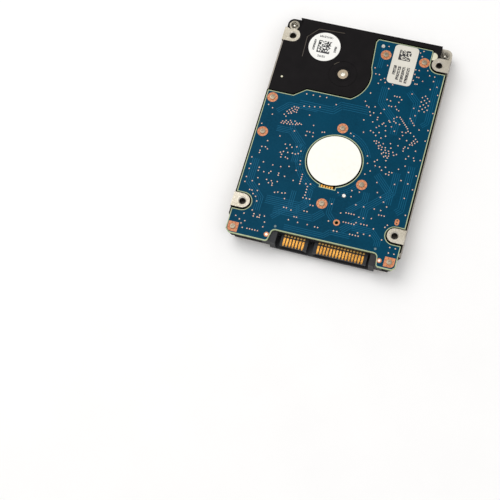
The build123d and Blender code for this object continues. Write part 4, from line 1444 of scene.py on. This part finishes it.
BOARD_SCREWS = ScrewSet(
    name="lobed_board_screws",
    places=(*ROUND_PADS, *((x, y) for x, y, _ in CORNER_PADS)),
    head_radius=1.12,
    seat=8.9,
    head=9.35,
    recess=0.55,
    depth=0.22,
    shank_radius=0.75,
    shank_end=6.9,
    finish=SCREW_STEEL,
    slot=Slot.BOARD_SCREW,
    node="board_screws",
)
COVER_SCREWS = ScrewSet(
    name="lobed_cover_screws",
    places=((-32.0, 46.9), (32.0, 46.9), (-31.0, -45.6), (31.0, -45.6), (-32.6, 8.5), (32.6, 8.5)),
    head_radius=1.9,
    seat=0.8,
    head=0.3,
    recess=0.85,
    depth=0.35,
    shank_radius=0.76,
    shank_end=3.9,
    finish=SCREW_BRASS,
    slot=Slot.COVER_SCREW,
    node="cover_screws",
)


# ---------------------------------------------------------------- stickers


@dataclass
class Stickers:
    """Round and oblong stickers on the board side, and two on the far end."""

    round_top: float = 9.48
    board_top: float = 8.98
    board_rows: tuple[Point, ...] = ((13.7, 4.2), (15.5, 6.3), (17.3, 7.0), (19.2, 7.2))
    rows_end: float = 36.6
    case_end: float = 50.1
    end_face: float = 50.086

    def build(self) -> None:
        """Dresses the stickers and builds the print of each."""
        dress(frame["nodes"]["board_sticker"], CREAM_PAPER)
        self.print_round()
        self.print_board()
        self.print_end()

    def print_round(self) -> None:
        """Prints a square code with a row of marks on each of its sides."""
        z = self.round_top + 0.004
        rows = (
            Print((-16.8, 37.9, z), (5.4, 5.7), 14, 14, 0.6, seed=3),
            word((-16.8, 42.7, z), 5.8, 0.9, 11),
            word((-16.9, 33.5, z), 3.3, 0.9, 12),
            word((-21.0, 38.2, z), 5.0, 0.8, 13, True),
            word((-12.0, 37.7, z), 2.8, 0.9, 14, True),
        )
        ink(rows, INK, "round_sticker_print")

    def print_board(self) -> None:
        """Prints a square code over four rows of marks that run along Y."""
        z = self.board_top + 0.004
        rows = [Print((16.4, 41.8, z), (4.9, 4.7), 12, 12, 0.6, seed=5)]
        for number, (x, length) in enumerate(self.board_rows):
            middle = (x, self.rows_end - length / 2, z)
            rows.append(word(middle, length, 1.15, 20 + number, True))
        ink(rows, INK, "board_sticker_print")

    def print_end(self) -> None:
        """Trims the end stickers' thickness and prints bar codes on them."""
        strips = node_copy("end_stickers", "end_strips")
        pick(strips, Part.VERTEX, lambda place, normal: place.y > self.case_end - 0.05)
        bpy.ops.transform.translate(value=(0.0, (self.end_face - self.case_end) * MM, 0.0))
        release()
        hand_over(strips, Slot.LABEL, PAPER, replaced="end_stickers")
        y, back = self.end_face + 0.005, Facing.BACK
        rows = (
            Print((-18.5, y, 4.5), (13.0, 2.8), 60, 1, 0.5, facing=back, seed=31, bars=True),
            word((-6.0, y, 5.3), 8.0, 0.9, 32, facing=back),
            word((-6.5, y, 3.7), 6.5, 0.9, 33, facing=back),
            Print((12.5, y, 4.5), (11.0, 2.8), 50, 1, 0.5, facing=back, seed=34, bars=True),
            word((23.5, y, 5.3), 8.0, 0.9, 35, facing=back),
            word((23.0, y, 3.7), 6.0, 0.9, 36, facing=back),
        )
        ink(rows, INK, "end_sticker_print")


@dataclass
class ProductLabel:
    """The large label on the underside, with generic print only."""

    face: float = 0.012
    ink_low: float = 0.004
    ink_high: float = 0.011

    def build(self) -> None:
        """Models the label a hair thinner than its CAD solid and prints it."""
        label = node_copy("product_label", "label_sheet")
        pick(label, Part.VERTEX, lambda place, normal: place.z < 0.05)
        bpy.ops.transform.translate(value=(0.0, 0.0, self.face * MM))
        release()
        hand_over(label, Slot.LABEL, SATIN_LABEL, replaced="product_label")
        self.add_print()
        self.add_marks()

    def add_print(self) -> None:
        """Prints rows of marks, two bar codes and a square code."""
        z, down = self.face - 0.005, Facing.DOWN
        rows = [
            Print((19.5, 8.0, z), (7.0, 7.0), 16, 16, 0.5, facing=down, seed=41),
            Print((-2.0, 38.0, z), (30.0, 3.2), 110, 1, 0.5, facing=down, seed=42, bars=True),
            Print((-2.0, 31.5, z), (22.0, 3.2), 84, 1, 0.5, facing=down, seed=43, bars=True),
            word((-9.0, 27.0, z), 16.0, 1.4, 44, facing=down),
        ]
        for number, (x, y) in enumerate(((19.0, 21.2), (19.0, 18.8), (19.0, -5.0), (15.0, -18.0))):
            rows.append(word((x, y, z), 7.0 - number, 1.0, 70 + number, facing=down))
        for number in range(7):
            length = 24.0 - 2.5 * (number % 3)
            middle = (-22.5 + length / 2, 21.5 - 2.6 * number, z)
            rows.append(word(middle, length, 1.1, 50 + number, facing=down))
        for number in range(4):
            middle = (-4.0, -14.0 - 2.2 * number, z)
            rows.append(word(middle, 26.0 - 3.0 * number, 1.0, 60 + number, facing=down))
        ink(rows, INK, "label_print")

    def oval(
        self, centre: Point, radius: float, width: float, squeeze: float = 1.0
    ) -> bpy.types.Object:
        """Models a flat ring or oval of ink.

        Args:
            centre: Its middle.
            radius: Its outer radius along X.
            width: How wide its line is.
            squeeze: Its height over its length.

        Returns:
            The ring.
        """
        ring = washer("ring", radius, radius - width, self.ink_low, self.ink_high)
        ring.scale.y = squeeze
        ring.location = (centre[0] * MM, centre[1] * MM, 0.0)
        return settle(ring, "ring")

    def frame_box(self, centre: Point, size: Point, width: float) -> bpy.types.Object:
        """Models a flat rectangular border of ink from four bars.

        Args:
            centre: Its middle.
            size: Its outer length and height.
            width: How wide its line is.

        Returns:
            The border.
        """
        (x, y), (w, h) = centre, (size[0] / 2, size[1] / 2)
        sides = (
            ((x - w, y - h), (x + w, y - h + width)),
            ((x - w, y + h - width), (x + w, y + h)),
            ((x - w, y - h + width), (x - w + width, y + h - width)),
            ((x + w - width, y - h + width), (x + w, y + h - width)),
        )
        bars = [block("bar", (*one, self.ink_low), (*two, self.ink_high)) for one, two in sides]
        return join(bars, "frame_box")

    def add_marks(self) -> None:
        """Prints plain rings, an oval and framed boxes where such a label has symbols."""
        pieces = [
            self.oval((-18.0, -9.0), 3.0, 0.45),
            self.oval((-10.0, -9.0), 2.6, 0.35),
            self.oval((0.0, -9.0), 4.6, 0.35, 0.6),
            self.oval((-16.0, -25.0), 4.0, 0.6),
            self.frame_box((19.0, 20.0), (10.0, 8.0), 0.4),
            self.frame_box((19.0, -5.0), (10.0, 6.0), 0.4),
            self.frame_box((15.0, -18.0), (8.0, 5.0), 0.3),
        ]
        hand_over(join(pieces, "label_marks"), Slot.LABEL, GREY_INK)


# ---------------------------------------------------------------- connector


@dataclass
class DataConnector:
    """The serial connector's blades, their roots with a painted highlight and the grooves across them
    in painted shade.
    """

    pitch: float = 1.27
    width: float = 0.84
    low: float = 6.0
    high: float = 6.15
    tip: float = -49.6
    root: float = -44.6
    rows: tuple[tuple[str, float, int], ...] = (("signal", -10.7, 7), ("power", 3.1, 15))
    root_half: float = 0.36
    root_ends: Point = (-45.5, -44.95)
    root_rise: float = 0.04
    groove_reach: float = 0.6
    groove_ends: Point = (-46.15, -45.6)
    groove_rise: float = 0.03

    def blade(self) -> bpy.types.Object:
        """Models one blade with a pointed tip and rounded long edges.

        Returns:
            The blade, with its middle at x = 0.
        """
        half = self.width / 2
        piece = block("blade", (-half, self.tip, self.low), (half, self.root, self.high))
        take(piece)
        bpy.ops.object.mode_set(mode="EDIT")
        bpy.ops.mesh.select_all(action="SELECT")
        bpy.ops.mesh.bisect(plane_co=(0.0, (self.tip + 0.8) * MM, 0.0), plane_no=(0.0, 1.0, 0.0))
        pick(piece, Part.VERTEX, lambda place, normal: place.y < self.tip + 0.1)
        middle = (0.0, self.tip * MM, self.low * MM)
        bpy.ops.transform.resize(value=(0.4, 1.0, 0.45), center_override=middle)
        release()
        soften(piece, 0.04, lambda place, way: place.z > self.high - 0.01 and abs(way.y) > 0.9)
        return piece

    def bar(self, sides: Point, ends: Point, rise: float, edge: float) -> bpy.types.Object:
        """Models a low bar on the tongue, with its upper edges rounded.

        Args:
            sides: Its lowest and highest x.
            ends: Its lowest and highest y.
            rise: How far it stands over the blades.
            edge: How far its upper edges are rounded.

        Returns:
            The bar.
        """
        top = self.high + rise
        bar = block("bar", (sides[0], ends[0], self.high), (sides[1], ends[1], top))
        soften(bar, edge, lambda place, way: place.z > top - 0.01)
        return bar

    def build(self) -> None:
        """Builds each row of blades, its roots with their painted highlight and a near-black bar of
        painted shade for its groove.
        """
        for name, start, count in self.rows:
            places = [(start + self.pitch * n, 0.0) for n in range(count)]
            blades = repeat(self.blade(), places, f"{name}_blades")
            hand_over(blades, Slot.CONTACT, GOLD, replaced=f"{name}_contacts")
            sides = (-self.root_half, self.root_half)
            # The roots take the brighter gold as a painted highlight.
            root = self.bar(sides, self.root_ends, self.root_rise, 0.02)
            hand_over(repeat(root, places, f"{name}_roots"), Slot.CONTACT, ROOT_HIGHLIGHT_GOLD)
            sides = (start - self.groove_reach, places[-1][0] + self.groove_reach)
            # Painted shade: the groove is a near-black bar over the blades.
            groove = self.bar(sides, self.groove_ends, self.groove_rise, 0.01)
            hand_over(settle(groove, f"{name}_groove"), Slot.HOUSING, GAP_SHADE_BLACK)


# ---------------------------------------------------------------- the rest


@dataclass
class MotorFace:
    """The seal disc over the motor, whose wall is painted near-black as the shade in the gap round
    it, and the pivot's cap, whose recess floor carries a painted highlight.
    """

    recess_radius: float = 1.05
    recess: Point = (8.5, 9.3)

    def build(self) -> None:
        """Dresses the disc's wall with painted shade and the cap's recess floor with a painted
        highlight, apart from the rest.
        """
        disc = frame["nodes"]["motor_seal_disc"]
        dress(disc, WHITE_DISC, GAP_SHADE_BLACK)
        # Painted shade: the disc's wall is near-black for the dark ring in the gap round the disc.
        for face in disc.data.polygons:
            face.material_index = int(face.normal.z < 0.5)
        cap = frame["nodes"]["pivot_shaft"]
        dress(cap, SCREW_STEEL, TIN_AND_HIGHLIGHT)
        # Painted highlight: the floor of the cap's recess takes bright tin for the bright spot at its
        # centre.
        for face in cap.data.polygons:
            place = face.center / MM
            near = math.hypot(place.x - PIVOT[0], place.y - PIVOT[1]) < self.recess_radius
            face.material_index = int(near and self.recess[0] < place.z < self.recess[1])


@dataclass
class CarriedNodes:
    """Every CAD node, dressed by its slot before any is dressed in its own way."""

    finishes: dict[str, Finish] = field(default_factory=lambda: CARRIED)

    def build(self) -> None:
        """Dresses each node with the finish of its slot."""
        slots = {part["node"]: part["material_slot"] for part in frame["record"]["subparts"]}
        for name, node in frame["nodes"].items():
            finish = self.finishes.get(slots.get(name), BLACK_COAT)
            dress(node, finish)
            log.info("%s: %s", name, finish.name)


def main() -> None:
    """Builds the sub-assemblies in order."""
    logging.basicConfig(level=logging.INFO, format="%(message)s")
    Studio().build()
    CarriedNodes().build()
    MotorFace().build()
    Casting().build()
    CircuitBoard().build()
    BOARD_SCREWS.build()
    COVER_SCREWS.build()
    Stickers().build()
    ProductLabel().build()
    DataConnector().build()
    release()


if __name__ == "__main__":
    main()
